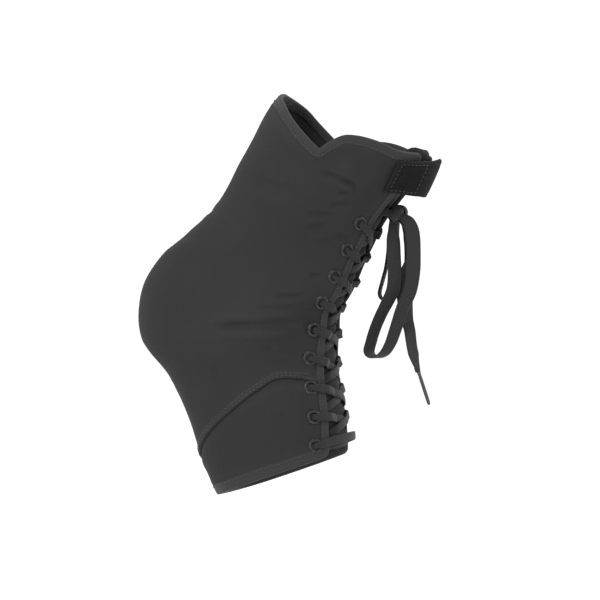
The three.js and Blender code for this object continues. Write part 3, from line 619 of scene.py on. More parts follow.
# Materials
class Wiring:
    """A new material, with short calls that add nodes to it and join them."""

    def __init__(self, name):
        self.material = bpy.data.materials.new(name)
        self.material.use_nodes = True
        self.tree = self.material.node_tree
        self.tree.nodes.clear()
        output = self.tree.nodes.new("ShaderNodeOutputMaterial")
        self.shader = self.tree.nodes.new("ShaderNodeBsdfPrincipled")
        self.tree.links.new(self.shader.outputs[0], output.inputs[0])

    def shade(self, inputs):
        """Gives the shader its inputs, and returns the material."""
        for key, value in inputs.items():
            self.put(self.shader.inputs[key], value)
        return self.material

    def put(self, target, value):
        if isinstance(value, bpy.types.NodeSocket):
            self.tree.links.new(value, target)
        else:
            target.default_value = value

    def node(self, kind, inputs=None, **settings):
        node = self.tree.nodes.new(kind)
        for key, value in settings.items():
            setattr(node, key, value)
        for key, value in (inputs or {}).items():
            self.put(node.inputs[key], value)
        return node

    def math(self, operation, a, b=0.0):
        return self.node("ShaderNodeMath", {0: a, 1: b}, operation=operation).outputs[0]

    def uv(self):
        return self.node("ShaderNodeUVMap", uv_map="cloth").outputs[0]

    def object_place(self):
        return self.node("ShaderNodeTexCoord").outputs["Object"]

    def scaled(self, vector, scale):
        return self.node("ShaderNodeMapping", {"Vector": vector, "Scale": scale}).outputs[0]

    def noise(self, vector, scale, detail=2.0, roughness=0.5):
        inputs = {"Vector": vector, "Scale": scale, "Detail": detail, "Roughness": roughness}
        return self.node("ShaderNodeTexNoise", inputs).outputs[0]

    def bands(self, vector, scale, direction, distortion=0.0):
        inputs = {"Vector": vector, "Scale": scale, "Distortion": distortion, "Detail": 1.0}
        return self.node("ShaderNodeTexWave", inputs, bands_direction=direction).outputs[1]

    def value(self, name):
        return self.node("ShaderNodeAttribute", attribute_name=name).outputs["Fac"]

    def mix(self, share, a, b):
        inputs = {0: share, 6: a, 7: b}
        return self.node("ShaderNodeMix", inputs, data_type="RGBA").outputs[2]

    def spread(self, value, low, high, to_low, to_high):
        inputs = {0: value, 1: low, 2: high, 3: to_low, 4: to_high}
        return self.node("ShaderNodeMapRange", inputs).outputs[0]

    def bump(self, height, strength, distance, normal=None):
        inputs = {"Height": height, "Strength": strength, "Distance": distance}
        if normal is not None:
            inputs["Normal"] = normal
        return self.node("ShaderNodeBump", inputs).outputs[0]


def grey(value, blue=0.0):
    """A colour by its screen grey from 0 to 255, a little towards blue if asked."""
    def linear(x):
        x = x / 255
        return x / 12.92 if x <= 0.04045 else ((x + 0.055) / 1.055) ** 2.4
    return (linear(value), linear(value), linear(value + blue), 1)


def cloth_material(name, shade, blue, knit_scale, sheen):
    """A padded knit: fine wales and courses, a soft nap, faded where it rubs, and painted lighter on
    raised cloth as a painted highlight.
    """
    w = Wiring(name)
    uv = w.uv()
    place = w.object_place()
    wales = w.bands(uv, knit_scale, "X", 0.6)
    courses = w.bands(uv, knit_scale * 0.8, "Y", 0.9)
    knit = w.math("MULTIPLY", wales, courses)
    nap = w.noise(place, 900.0, 3.0, 0.6)
    patches = w.noise(place, 28.0, 4.0, 0.55)
    tone = w.mix(w.spread(patches, 0.3, 0.7, 0.0, 1.0), grey(shade - 3, blue), grey(shade + 3, blue))
    tone = w.mix(w.spread(knit, 0.0, 1.0, 0.35, 0.0), tone, grey(shade - 12, blue))
    # Lighter where the cloth is rubbed, and a painted highlight where it is raised.
    tone = w.mix(w.math("MULTIPLY", w.value("wear_and_highlight"), 0.55), tone, grey(shade + 16, blue))
    rough = w.spread(w.math("ADD", nap, patches), 0.7, 1.3, 0.8, 0.95)
    soft = w.bump(nap, 0.25, 0.0004)
    return w.shade({
        "Base Color": tone,
        "Roughness": rough,
        "Sheen Weight": sheen,
        "Sheen Roughness": 0.45,
        "Sheen Tint": grey(150, 3),
        "Specular IOR Level": 0.15,
        "Normal": w.bump(knit, 0.45, 0.0003, soft),
    })


def tape_material():
    """A ribbed binding tape, with its ribs across it."""
    w = Wiring("binding_tape")
    uv = w.uv()
    ribs = w.bands(uv, 5.2, "Y", 0.2)
    threads = w.noise(w.scaled(uv, (3.0, 60.0, 1.0)), 9.0, 3.0)
    tone = w.mix(w.spread(ribs, 0.0, 1.0, 0.5, 0.0), grey(42, 1), grey(31, 1))
    tone = w.mix(w.math("MULTIPLY", threads, 0.35), tone, grey(52, 1))
    return w.shade({
        "Base Color": tone,
        "Roughness": w.spread(threads, 0.3, 0.7, 0.62, 0.82),
        "Sheen Weight": 0.06,
        "Sheen Roughness": 0.4,
        "Specular IOR Level": 0.2,
        "Normal": w.bump(ribs, 0.5, 0.0003),
    })


def lace_material():
    """A flat braid: strands that slant towards its middle from both edges, with painted shade along the
    edges.
    """
    w = Wiring("lace_braid")
    uv = w.uv()
    split = w.node("ShaderNodeSeparateXYZ", {0: uv}).outputs
    middle = w.math("ABSOLUTE", w.math("SUBTRACT", split[0], 0.5))
    slanted = w.math("ADD", w.math("MULTIPLY", middle, 1.1), split[1])
    strands = w.math("ABSOLUTE", w.math("SINE", w.math("MULTIPLY", slanted, 19.0)))
    columns = w.math("ABSOLUTE", w.math("SINE", w.math("MULTIPLY", split[0], 18.85)))
    braid = w.math("MULTIPLY", w.math("POWER", strands, 0.5), w.spread(columns, 0.0, 0.5, 0.45, 1.0))
    fuzz = w.noise(w.object_place(), 1400.0, 3.0, 0.6)
    tone = w.mix(w.spread(braid, 0.1, 1.0, 1.0, 0.0), grey(38, 1), grey(21, 1))
    tone = w.mix(w.math("MULTIPLY", fuzz, 0.3), tone, grey(46, 1))
    # Painted shade along the lace's edges.
    tone = w.mix(w.math("MULTIPLY", w.value("edge"), 0.6), tone, grey(26, 1))
    soft = w.bump(fuzz, 0.2, 0.0003)
    return w.shade({
        "Base Color": tone,
        "Roughness": w.spread(fuzz, 0.3, 0.7, 0.7, 0.88),
        "Sheen Weight": 0.1,
        "Sheen Roughness": 0.4,
        "Specular IOR Level": 0.2,
        "Normal": w.bump(braid, 0.6, 0.0004, soft),
    })


def strap_material():
    """Near-black loop pile: fine crowded curls that catch little light."""
    w = Wiring("strap_pile")
    place = w.object_place()
    curls = w.node("ShaderNodeTexVoronoi", {"Vector": place, "Scale": 1500.0}, feature="F1").outputs[0]
    fuzz = w.noise(place, 700.0, 4.0, 0.65)
    tone = w.mix(w.spread(curls, 0.1, 0.7, 0.0, 1.0), grey(22, 1), grey(9, 1))
    tone = w.mix(w.spread(fuzz, 0.45, 0.75, 0.0, 0.5), tone, grey(30, 1))
    tone = w.mix(w.math("MULTIPLY", w.value("wear_and_highlight"), 0.5), tone, grey(34, 1))
    return w.shade({
        "Base Color": tone,
        "Roughness": w.spread(fuzz, 0.3, 0.7, 0.82, 0.97),
        "Sheen Weight": 0.03,
        "Sheen Roughness": 0.6,
        "Specular IOR Level": 0.08,
        "Normal": w.bump(w.math("ADD", curls, fuzz), 0.55, 0.0005),
    })


def enamel_material():
    """Dark enamel over pressed metal, rubbed a little along its rim."""
    w = Wiring("eyelet_enamel")
    place = w.object_place()
    marks = w.noise(place, 600.0, 4.0, 0.6)
    rubbed = w.math("MULTIPLY", w.value("wear_and_highlight"), w.spread(marks, 0.45, 0.65, 0.0, 1.0))
    return w.shade({
        "Base Color": w.mix(rubbed, grey(28, 1), grey(70, 1)),
        "Roughness": w.spread(marks, 0.3, 0.7, 0.32, 0.52),
        "Metallic": 0.55,
        "Normal": w.bump(marks, 0.12, 0.0001),
    })


def aglet_material():
    w = Wiring("aglet_plastic")
    streaks = w.noise(w.scaled(w.object_place(), (900.0, 900.0, 120.0)), 1.0, 3.0)
    return w.shade({
        "Base Color": w.mix(streaks, grey(36, 1), grey(50, 1)),
        "Roughness": w.spread(streaks, 0.3, 0.7, 0.28, 0.45),
        "Normal": w.bump(streaks, 0.15, 0.0001),
    })


def thread_material():
    """Twisted dark thread with a sheen, which catches the light."""
    w = Wiring("stitch_thread")
    twist = w.noise(w.object_place(), 2500.0, 2.0)
    return w.shade({
        "Base Color": w.mix(twist, grey(16, 1), grey(34, 1)),
        "Roughness": w.spread(twist, 0.3, 0.7, 0.55, 0.75),
        "Sheen Weight": 0.2,
        "Normal": w.bump(twist, 0.4, 0.0002),
    })


CLOTH = cloth_material("padded_knit", 39, 1.0, 3.4, 0.06)
TONGUE_CLOTH = cloth_material("tongue_knit", 35, 1.0, 4.2, 0.05)
TAPE = tape_material()
LACE = lace_material()
STRAP = strap_material()
ENAMEL = enamel_material()
PLASTIC = aglet_material()
THREAD = thread_material()

# The knot and the laces' free ends
eyelet_stations = station_up_edge(EYELET_START + EYELET_PITCH * np.arange(EYELET_COUNT))
eyelet_fronts = half_gap(eyelet_stations) + EYELET_INSET
knot_rise = EYELET_START + (EYELET_COUNT - 1) * EYELET_PITCH + KNOT_ABOVE_EYELETS
knot_station = station_up_edge(knot_rise)
knot_place = front_point(knot_station, 0.0, KNOT_PROUD)
knot_up = front_up(knot_station, 0.0)


def eyelet_frame(i, side, height=0):
    """A place in the middle of an eyelet, and the cloth's normal and upward direction there."""
    station = eyelet_stations[i]
    arc = half_round(station) - side * eyelet_fronts[i]
    return cloth_point(station, arc, height), form_normal(station, arc), form_up(station, arc)


LOOP_STEPS = 60
TAIL_STEPS = 36


def free_lace(rows, both_ends):
    """The path of a free lace from its table, narrow where it leaves the knot or meets its tip."""
    rows = np.array(rows, float)
    steps = LOOP_STEPS if both_ends else TAIL_STEPS
    place = catmull_rom(rows[:, :3] + knot_place, steps)
    turns = np.radians(smooth_value(rows[:, 3], np.linspace(0, len(rows) - 1, steps + 1)))
    across = np.stack([np.cos(turns), np.sin(turns), 0 * turns], 1)
    run = travelled(place)
    from_start, from_end = run / LACE_NECK_LENGTH, (run[-1] - run) / LACE_NECK_LENGTH
    opened = np.minimum(1, np.minimum(from_start, from_end if both_ends else 1))
    width = LACE_NECK_WIDTH + (LACE_WIDTH - LACE_NECK_WIDTH) * opened
    if not both_ends:
        width = AGLET_DIAMETER + (width - AGLET_DIAMETER) * np.minimum(1, from_end)
    return resample(place, width, across, LACE_STEP)


def aglet_piece(name, path):
    """A tip of rolled plastic, crimped near its top and rounded at its end."""
    place = path[0]
    along = unit(place[-1] - place[-4])
    side = unit(np.cross(along, [0.0, 1.0, 0.0]))
    other = np.cross(along, side)
    profile = [
        (-0.6, 0.98), (-0.3, 1.0), (0.4, 1.0), (1.2, 0.9), (1.7, 0.88), (2.2, 0.98), (5, 1.0), (12, 1.0),
        (17.4, 0.97), (18.9, 0.88), (19.7, 0.68), (20.1, 0.36), (20.2, 0.1),
    ]
    sides = 20
    around = ring(sides, side, other) * (AGLET_DIAMETER / 2)
    points = np.array([place[-1] + along * h + around * share for h, share in profile])
    uv = np.zeros((len(profile) * sides, 2))
    faces = tube_faces(len(profile), sides, False)
    return mesh_object(name, points, faces, PLASTIC, uv)


FREE_LACES = {
    "bow_loop_front": (FRONT_LOOP, True, 0.25),
    "bow_loop_back": (BACK_LOOP, True, 0.25),
    "lace_tail_front": (FRONT_TAIL, False, 0.2),
    "lace_tail_back": (BACK_TAIL, False, 0.2),
}
free_paths = {}
for lace_name, (lace_rows, both, lace_crown) in FREE_LACES.items():
    lace_path = free_lace(lace_rows, both)
    free_paths[lace_name] = lace_path
    lace = ribbon_piece(f"{lace_name}_braid", lace_path[:3], crown=lace_crown)
    on_root(lace, lace_name)
    if not both:
        tip = aglet_piece(f"{lace_name}_tip", lace_path)
        on_root(tip, lace_name.replace("lace_tail", "aglet"))


# The lace between the front edges
def lace_run(first_side, crossing_height):
    places, widths, acrosses = [], [], []

    def add(place, width, across):
        places.append(np.array(place, float))
        widths.append(width)
        acrosses.append(np.array(across, float))

    def on_front(station, from_front, height, width):
        add(front_point(station, from_front, height), width, front_up(station, from_front))

    def run(stops):
        on_front(*stops[0])
        for a, b in zip(stops, stops[1:]):
            a, b = np.array(a, float), np.array(b, float)
            span = np.linalg.norm(front_point(*a[:3]) - front_point(*b[:3]))
            for t in np.linspace(0, 1, int(math.ceil(span / 3.0)) + 1)[1:]:
                on_front(*(a + (b - a) * t))

    def heading(i, side, station, from_front):
        place, normal, _ = eyelet_frame(i, side)
        direction = front_point(station, from_front, 0) - place
        return unit(direction - normal * (direction @ normal))

    def through(i, side, towards, away):
        place, normal, up = eyelet_frame(i, side)
        corner = LACE_BEND * (1 - math.sqrt(0.5))
        for direction, reach, height in (
            (towards, LACE_BEND, LACE_ON_FLANGE),
            (towards, corner, LACE_ON_FLANGE - corner),
            (towards, 0, LACE_ON_FLANGE - LACE_BEND),
            (away, 0, LACE_UNDER + LACE_BEND),
            (away, corner, LACE_UNDER + corner),
            (away, LACE_BEND, LACE_UNDER),
        ):
            add(place + direction * reach + normal * height, LACE_BUNCHED_WIDTH, up)

    near = EYELET_FLANGE / 2 + LACE_RIM_MARGIN
    side = first_side
    first = eyelet_fronts[0]
    station = eyelet_stations[0]
    pulled = LACE_PULLED_WIDTH
    run([
        (station, first_side * SEAM_GAP / 2, LACE_ON_FLAP, pulled),
        (station, side * (first - EYELET_INSET), LACE_ON_FLAP, pulled),
        (station, side * (first - near), LACE_ON_FLANGE, pulled),
    ])
    for i in range(EYELET_COUNT):
        below = (eyelet_stations[i - 1], -side * eyelet_fronts[i - 1]) if i else (station, 0.0)
        last = i + 1 == EYELET_COUNT
        above = (knot_station, 0.0) if last else (eyelet_stations[i + 1], -side * eyelet_fronts[i + 1])
        through(i, side, heading(i, side, *below), heading(i, side, *above))
        if last:
            break
        here, there = eyelet_fronts[i], eyelet_fronts[i + 1]
        total = here + there
        overlap, middle = CROSSING_SHARE * total, total / 2

        def stop(distance, height):
            share = distance / total
            at = eyelet_stations[i] * (1 - share) + eyelet_stations[i + 1] * share
            return (at, side * (here - distance), height, pulled)

        run([
            stop(near, LACE_UNDER),
            stop(EYELET_INSET + LACE_EDGE_MARGIN, LACE_UNDER),
            stop(middle - overlap, crossing_height),
            stop(middle + overlap, crossing_height),
            stop(total - EYELET_INSET - LACE_EDGE_MARGIN, LACE_ON_FLAP),
            stop(total - near, LACE_ON_FLANGE),
        ])
        side = -side
    top, edge = eyelet_stations[-1], half_gap(eyelet_stations[-1])
    nearly = edge + (KNOT_LENGTH / 2 - edge) * 0.6
    for share, front in ((0.25, eyelet_fronts[-1] - near), (0.5, edge), (0.65, nearly)):
        on_front(top + (knot_station - top) * share, side * front, LACE_UNDER, pulled)
    add(knot_place + np.array([0, side * KNOT_ENTRY, 0]), LACE_BUNCHED_WIDTH, knot_up)
    return resample(places, widths, acrosses, LACE_STEP)


lace_paths = {}
for lace_name, lace_side, lace_height in (
    ("lace_run_outer", OUTER, LACE_OVER),
    ("lace_run_inner", INNER, LACE_UNDER),
):
    lace_paths[lace_name] = lace_run(lace_side, lace_height)
    lace = ribbon_piece(f"{lace_name}_braid", lace_paths[lace_name][:3], crown=0.1)
    on_root(lace, lace_name)


# The knot: a core of bunched lace with a turn of lace wrapped round its middle
def knot_pieces():
    across = np.array([0.0, 1.0, 0.0])
    out = unit(np.cross(knot_up, across))
    out = out if out[0] > 0 else -out
    rings, sides = 26, 40
    points, uv = [], []
    for i in range(rings + 1):
        along = -math.cos(math.pi * i / rings)
        girth = max(0.02, math.sin(math.pi * i / rings)) ** 0.6
        for k in range(sides):
            angle = 2 * math.pi * k / sides
            pleat = 1 + 0.07 * math.cos(5 * angle + 2.2 * along) + 0.03 * math.cos(9 * angle - 3 * along)
            waist = 1 - 0.22 * math.exp(-((along / 0.35) ** 2))
            reach = girth * pleat * waist
            place = knot_place + across * along * KNOT_LENGTH / 2
            place = place + knot_up * math.cos(angle) * reach * KNOT_HEIGHT / 2
            place = place + out * math.sin(angle) * reach * KNOT_DEPTH / 2
            points.append(place)
            uv.append((k / sides * 3, along * 0.8))
    faces = tube_faces(rings + 1, sides, False)
    core = mesh_object("knot_core", points, faces, LACE, uv)
    angle = circle(60)
    rise = np.cos(angle)[:, None] * knot_up * (KNOT_HEIGHT / 2 + 0.1)
    depth = np.sin(angle)[:, None] * out * (KNOT_DEPTH / 2 + 0.1)
    drift = np.sin(angle)[:, None] * across * 0.9
    place = knot_place + rise + depth + drift
    width = 6.4 + 0.8 * np.cos(2 * angle)
    wrap = ribbon_piece("knot_wrap", (place, width, np.tile(across, (60, 1))), closed=True, crown=0.3)
    return core, wrap


knot_core, knot_wrap = knot_pieces()
on_root(knot_core, "knot")
on_root(knot_wrap)


# Cloth
seam_round, seam_stations = smooth_table(ARCH_SEAM)
top_back_round, top_back_drop = smooth_table(TOP_EDGE_BACK)
top_front_round, top_front_drop = smooth_table(TOP_EDGE_FRONT)


def spacing(station, share):
    """Millimetres between two neighbouring sections."""
    high, low = station + 0.25, station - 0.25
    a = form_point(high, share * side_length(high))
    b = form_point(low, share * side_length(low))
    return np.linalg.norm(a - b, axis=-1) / 0.5


def seam_station(share):
    return np.interp(share, seam_round, seam_stations)


def rounding(share, reach):
    """How far a corner's round cuts an edge back, near the front edge."""
    away = np.clip(CORNER_RADIUS - (1 - share) * reach, 0, CORNER_RADIUS)
    return CORNER_RADIUS - np.sqrt(CORNER_RADIUS ** 2 - away ** 2)


def top_station(share):
    behind = np.interp(share, top_back_round, top_back_drop)
    ahead = np.interp(share, top_front_round, top_front_drop)
    drop = np.where(share < NOTCH, behind, ahead) * HEIGHT
    reach = side_length(LAST_STATION)
    drop = drop + rounding(share, reach) + TAPE_THICKNESS
    return LAST_STATION - drop / spacing(np.full_like(share, LAST_STATION - 1.0), share)


def toe_station(share):
    reach = side_length(0.0)
    rise = rounding(share, reach) + TAPE_THICKNESS
    return rise / spacing(np.full_like(share, 0.5), share)


def shares_round(count):
    """Shares round a side, closer together near the notch and the two edges."""
    even = np.linspace(0, 1, count)
    extra = [NOTCH, NOTCH - 0.005, NOTCH + 0.005, 0.005, 0.01, 0.995, 0.99, 0.985, 0.98, 0.97, 0.96]
    return np.unique(np.round(np.concatenate([even, extra]), 5))


def run_up(points):
    """The distance up each column of a grid of points."""
    steps = np.linalg.norm(np.diff(points, axis=0), axis=2)
    return np.concatenate([np.zeros((1, points.shape[1])), np.cumsum(steps, 0)])


# Raised and sunk lines along the cloth's borders: the height, the distance in and the spread
QUARTER_SEAM_LINES = [(0.7, 2.2, 2.4), (-0.5, 0, 0.8)]
PANEL_SEAM_LINES = [(-0.9, 0, 2.2), (0.35, 5.5, 2.6)]
BACK_LINES = [(-0.8, 0, 1.3), (0.25, 3.6, 1.8)]
RIM_LINES = [(-0.25, 0, 4), (0.35, 7.5, 2.5)]
HEM_LINES = [(0.3, 7.2, 2.2)]
HEM_REACH = 12
LINING_FOLLOWS = 0.35  # the share of the outer face's small heights that the lining follows
ROWS_BY_ENDS = [0.004, 0.008, 0.016, 0.984, 0.992, 0.996]


def border_lines(away, lines):
    return sum(height * bell(away - middle, spread) for height, middle, spread in lines)


def calm_front(to_front):
    """Folds fade out towards the front edge, where the eyelets hold the cloth flat."""
    return 1 - 0.8 * bell(to_front, 5)


def cloth_piece(node, side, lower, upper, rows, is_quarter):
    share = shares_round(CLOTH_COLUMNS)
    up = np.unique(np.round(np.concatenate([np.linspace(0, 1, rows), ROWS_BY_ENDS]), 5))[:, None]
    station = lower(share)[None] * (1 - up) + upper(share)[None] * up
    reach = side_length(station)
    arc = side * share[None] * reach
    base = form_point(station, arc)
    base[:, 0, 1] = 0
    climb = run_up(base)
    to_seam, rim = (climb, climb[-1] - climb) if is_quarter else (climb[-1] - climb, climb)
    to_front, to_back = (1 - share[None]) * reach, share[None] * reach
    height = folds(base, side) * calm_front(to_front)
    height += border_lines(to_seam, QUARTER_SEAM_LINES if is_quarter else PANEL_SEAM_LINES)
    height += border_lines(to_back, BACK_LINES)
    height += border_lines(rim, RIM_LINES)
    height += border_lines(to_front, HEM_LINES) * (to_front < HEM_REACH)
    outer = cloth_point(station, arc, height)
    inner = cloth_point(station, arc, LINING_FOLLOWS * np.clip(height, -1, 1) - WALL)
    for grid in (outer, inner):
        grid[:, 0, 1] = 0
        grid[..., 1] += side * SEAM_GAP / 2
    # Lighter where the cloth rubs: at the rims, the arch seam and the back.
    wear_and_highlight = 0.5 * np.exp(-rim / 2.5) + 0.5 * np.exp(-to_seam / 2.0) * is_quarter
    # Raised folds and swells are painted lighter, a painted highlight.
    wear_and_highlight = wear_and_highlight + 0.35 * np.clip(height, 0, 1) + 0.2 * np.exp(-to_back / 2.5)
    uv = np.stack([side * arc, climb], 2) * UV_PER_MM
    piece = slab(f"{node}_cloth", outer, inner, CLOTH, uv, {"wear_and_highlight": np.clip(wear_and_highlight, 0, 1)})
    on_root(piece, node)
    return piece


SIDES = {"outer": OUTER, "inner": INNER}
for side_name, side_sign in SIDES.items():
    quarter = cloth_piece(
        f"{side_name}_quarter", side_sign, seam_station, top_station, QUARTER_ROWS, True
    )
    panel = cloth_piece(
        f"{side_name}_foot_panel", side_sign, toe_station, seam_station, PANEL_ROWS, False
    )


def surface_at(station, share, side, height):
    """A place on the dressed cloth, with its creases."""
    reach = side_length(station)
    arc = side * share * reach
    lift = folds(form_point(station, arc), side) * calm_front((1 - share) * reach)
    return cloth_point(station, arc, height + lift)


# The binding tape round the rims and down the front edge
def edge_line(side):
    """Stations and shares along a side's border, from the sole round the toe end, up and back."""
    share = np.concatenate([np.linspace(0, 0.93, 110), 1 - np.linspace(0.07, 0, 26)])
    toe = np.stack([toe_station(share), share], 1)
    low, high = toe[-1, 0], float(top_station(np.array([1.0]))[0])
    front = np.stack([np.linspace(low, high, 220), np.ones(220)], 1)
    back_share = np.concatenate([1 - np.linspace(0, 0.07, 26), np.linspace(0.93, 0, 150)])
    top = np.stack([top_station(back_share), back_share], 1)
    line = np.concatenate([toe, front[1:-1], top])
    points = form_point(line[:, 0], side * line[:, 1] * side_length(line[:, 0]))
    run = travelled(points)
    keep = np.concatenate([[True], np.diff(run) > 1e-4])
    at = np.linspace(0, run[-1], int(run[-1] / TAPE_STEP))
    station = np.interp(at, run[keep], line[keep, 0])
    share = np.interp(at, run[keep], line[keep, 1])
    smooth = np.array([1, 2, 1]) / 4
    inside = slice(1, -1)
    station[inside] = np.convolve(station, smooth, "valid")
    share[inside] = np.convolve(share, smooth, "valid")
    return station, share, at


def inward_frame(station, share, side):
    """The arcs and the inward directions along a border."""
    reach = side_length(station)
    arc = side * share * reach
    place = form_point(station, arc)
    normal = form_normal(station, arc)
    travel = unit(np.gradient(place, axis=0))
    inward = unit(np.cross(normal, travel))
    centre = form_point(np.full_like(station, 7.0), side * 0.5 * side_length(7.0))
    turned = np.sum(inward * (centre - place), 1).mean() < 0
    return arc, -inward if turned else inward


def on_cloth(station, arc, shift, height):
    """Places moved over the cloth by tangent vectors, at a height above it."""
    up = form_up(station, arc)
    around = unit(form_point(station, arc + 1.0) - form_point(station, arc - 1.0))
    mixed = np.sum(up * around, -1)
    a, b = np.sum(shift * up, -1), np.sum(shift * around, -1)
    down = 1 - mixed ** 2
    move_up, move_round = (a - mixed * b) / down, (b - mixed * a) / down
    edge = np.clip(station, 0.1, LAST_STATION - 0.1)
    pitch = np.linalg.norm(form_point(edge + 0.1, arc) - form_point(edge - 0.1, arc), axis=-1) / 0.2
    new_station = station + move_up / pitch
    new_arc = arc + move_round
    spare = (new_station - np.clip(new_station, 0, LAST_STATION)) * pitch
    point = cloth_point(np.clip(new_station, 0, LAST_STATION), new_arc, height)
    return point + up * spare[..., None]


def tape_piece(side_name, side):
    station, share, run = edge_line(side)
    arc, inward = inward_frame(station, share, side)
    t, w = TAPE_THICKNESS, TAPE_WIDTH
    profile = [
        (w, 0.02), (w, 0.7 * t), (w - 0.4, t), (w * 0.72, t * 0.94), (w * 0.45, t), (0.7, t),
        (0.0, 0.72 * t), (-0.42, 0.0), (-0.6, -0.5 * WALL), (-0.42, -WALL),
        (0.0, -WALL - 0.72 * t), (0.7, -WALL - t),
        (w * 0.5, -WALL - t), (w - 0.4, -WALL - t), (w, -WALL - 0.7 * t), (w, -WALL - 0.02),
        (0.3, -WALL * 0.75), (0.3, -WALL * 0.25),
    ]
    lift = folds(form_point(station, arc), side) * 0.2
    rim = -0.25 * np.minimum(1, np.abs(1 - share) * 30)
    columns = []
    for away, height in profile:
        deep = 0.35 if height < -WALL * 0.5 else 1.0
        columns.append(on_cloth(station, arc, inward * away, height + (lift + rim) * deep))
    points = np.stack(columns, 1)
    points[..., 1] += side * SEAM_GAP / 2
    uv = np.zeros((len(run), len(profile), 2))
    uv[..., 0] = np.linspace(0, 1, len(profile))
    uv[..., 1] = run[:, None] * UV_PER_MM
    faces = tube_faces(len(run), len(profile), False)
    tape = mesh_object(f"{side_name}_binding", points, faces, TAPE, uv.reshape(-1, 2))
    on_root(tape)
    return station, arc, inward


# Stitches
stitch_centres, stitch_travels, stitch_normals = [], [], []


def stitch_row(points, normals):
    points = np.asarray(points)
    run = travelled(points)
    at = np.arange(STITCH_PITCH / 2, run[-1], STITCH_PITCH)
    place = sample(at, run, points)
    ahead = sample(at + 0.4, run, points)
    behind = sample(at - 0.4, run, points)
    normal = sample(at, run, normals)
    stitch_centres.append(place)
    stitch_travels.append(unit(ahead - behind))
    stitch_normals.append(unit(normal))


def make_stitches():
    centre = np.concatenate(stitch_centres)
    travel = np.concatenate(stitch_travels)
    normal = np.concatenate(stitch_normals)
    side = np.cross(normal, travel)
    half = [(0.3, 1.0, 0.12), (0.75, 0.8, 0.0), (1.0, 0.15, -0.3)]
    shares = [(-along, girth, lift) for along, girth, lift in half[::-1]] + half
    sides = 6
    around = ring(sides, side[:, None], normal[:, None])
    rings = []
    for along, girth, lift in shares:
        middle = centre + travel * along * STITCH_LENGTH / 2 + normal * lift
        rings.append(middle[:, None] + around * girth * STITCH_RADIUS)
    points = np.stack(rings, 1).reshape(len(centre), -1, 3)
    block = tube_faces(len(shares), sides, False)
    faces = []
    for k in range(len(centre)):
        base = k * len(shares) * sides
        faces.extend([[base + i for i in f] for f in block])
    piece = mesh_object("stitching", points.reshape(-1, 3), faces, THREAD)
    on_root(piece)


TAPE_STITCH_INSET = 1.1
SEAM_STITCHES = (1.6, 3.6)  # how far above the arch seam the two rows run
SEAM_STITCH_HEIGHT = 0.62
BACK_STITCH = 2.7  # from the back seam
FLAT_STITCH_HEIGHT = 0.12

for side_name, side_sign in SIDES.items():
    border_station, border_arc, border_inward = tape_piece(side_name, side_sign)
    border_lift = 0.2 * folds(form_point(border_station, border_arc), side_sign)
    height = TAPE_THICKNESS - FLAT_STITCH_HEIGHT + border_lift
    row = on_cloth(border_station, border_arc, border_inward * (TAPE_WIDTH - TAPE_STITCH_INSET), height)
    row[:, 1] += side_sign * SEAM_GAP / 2
    stitch_row(row, form_normal(border_station, border_arc))
    share = np.linspace(0.03, 0.94, 200)
    for offset in SEAM_STITCHES:
        seam = seam_station(share) + offset / spacing(seam_station(share), share)
        points = surface_at(seam, share, side_sign, SEAM_STITCH_HEIGHT)
        stitch_row(points, form_normal(seam, side_sign * share * side_length(seam)))
    station = np.linspace(0.3, LAST_STATION - 0.3, 300)
    points = surface_at(station, BACK_STITCH / side_length(station), side_sign, FLAT_STITCH_HEIGHT)
    stitch_row(points, form_normal(station, side_sign * BACK_STITCH * np.ones_like(station)))


# The tongue, padded, and pressed in where the lace crosses it
TONGUE_END_ROUND = 3.0
TONGUE_STITCH_ROWS = (-8, 7)  # the rows of its grid that carry a row of stitches
TONGUE_PUFF = 1.5
SECTION_PITCH = 17  # about how far apart the sections are, in millimetres
LACE_PRESS = 2.6  # how far from a lace's middle the tongue lies flat
LACE_PRESS_FADE = 4.5


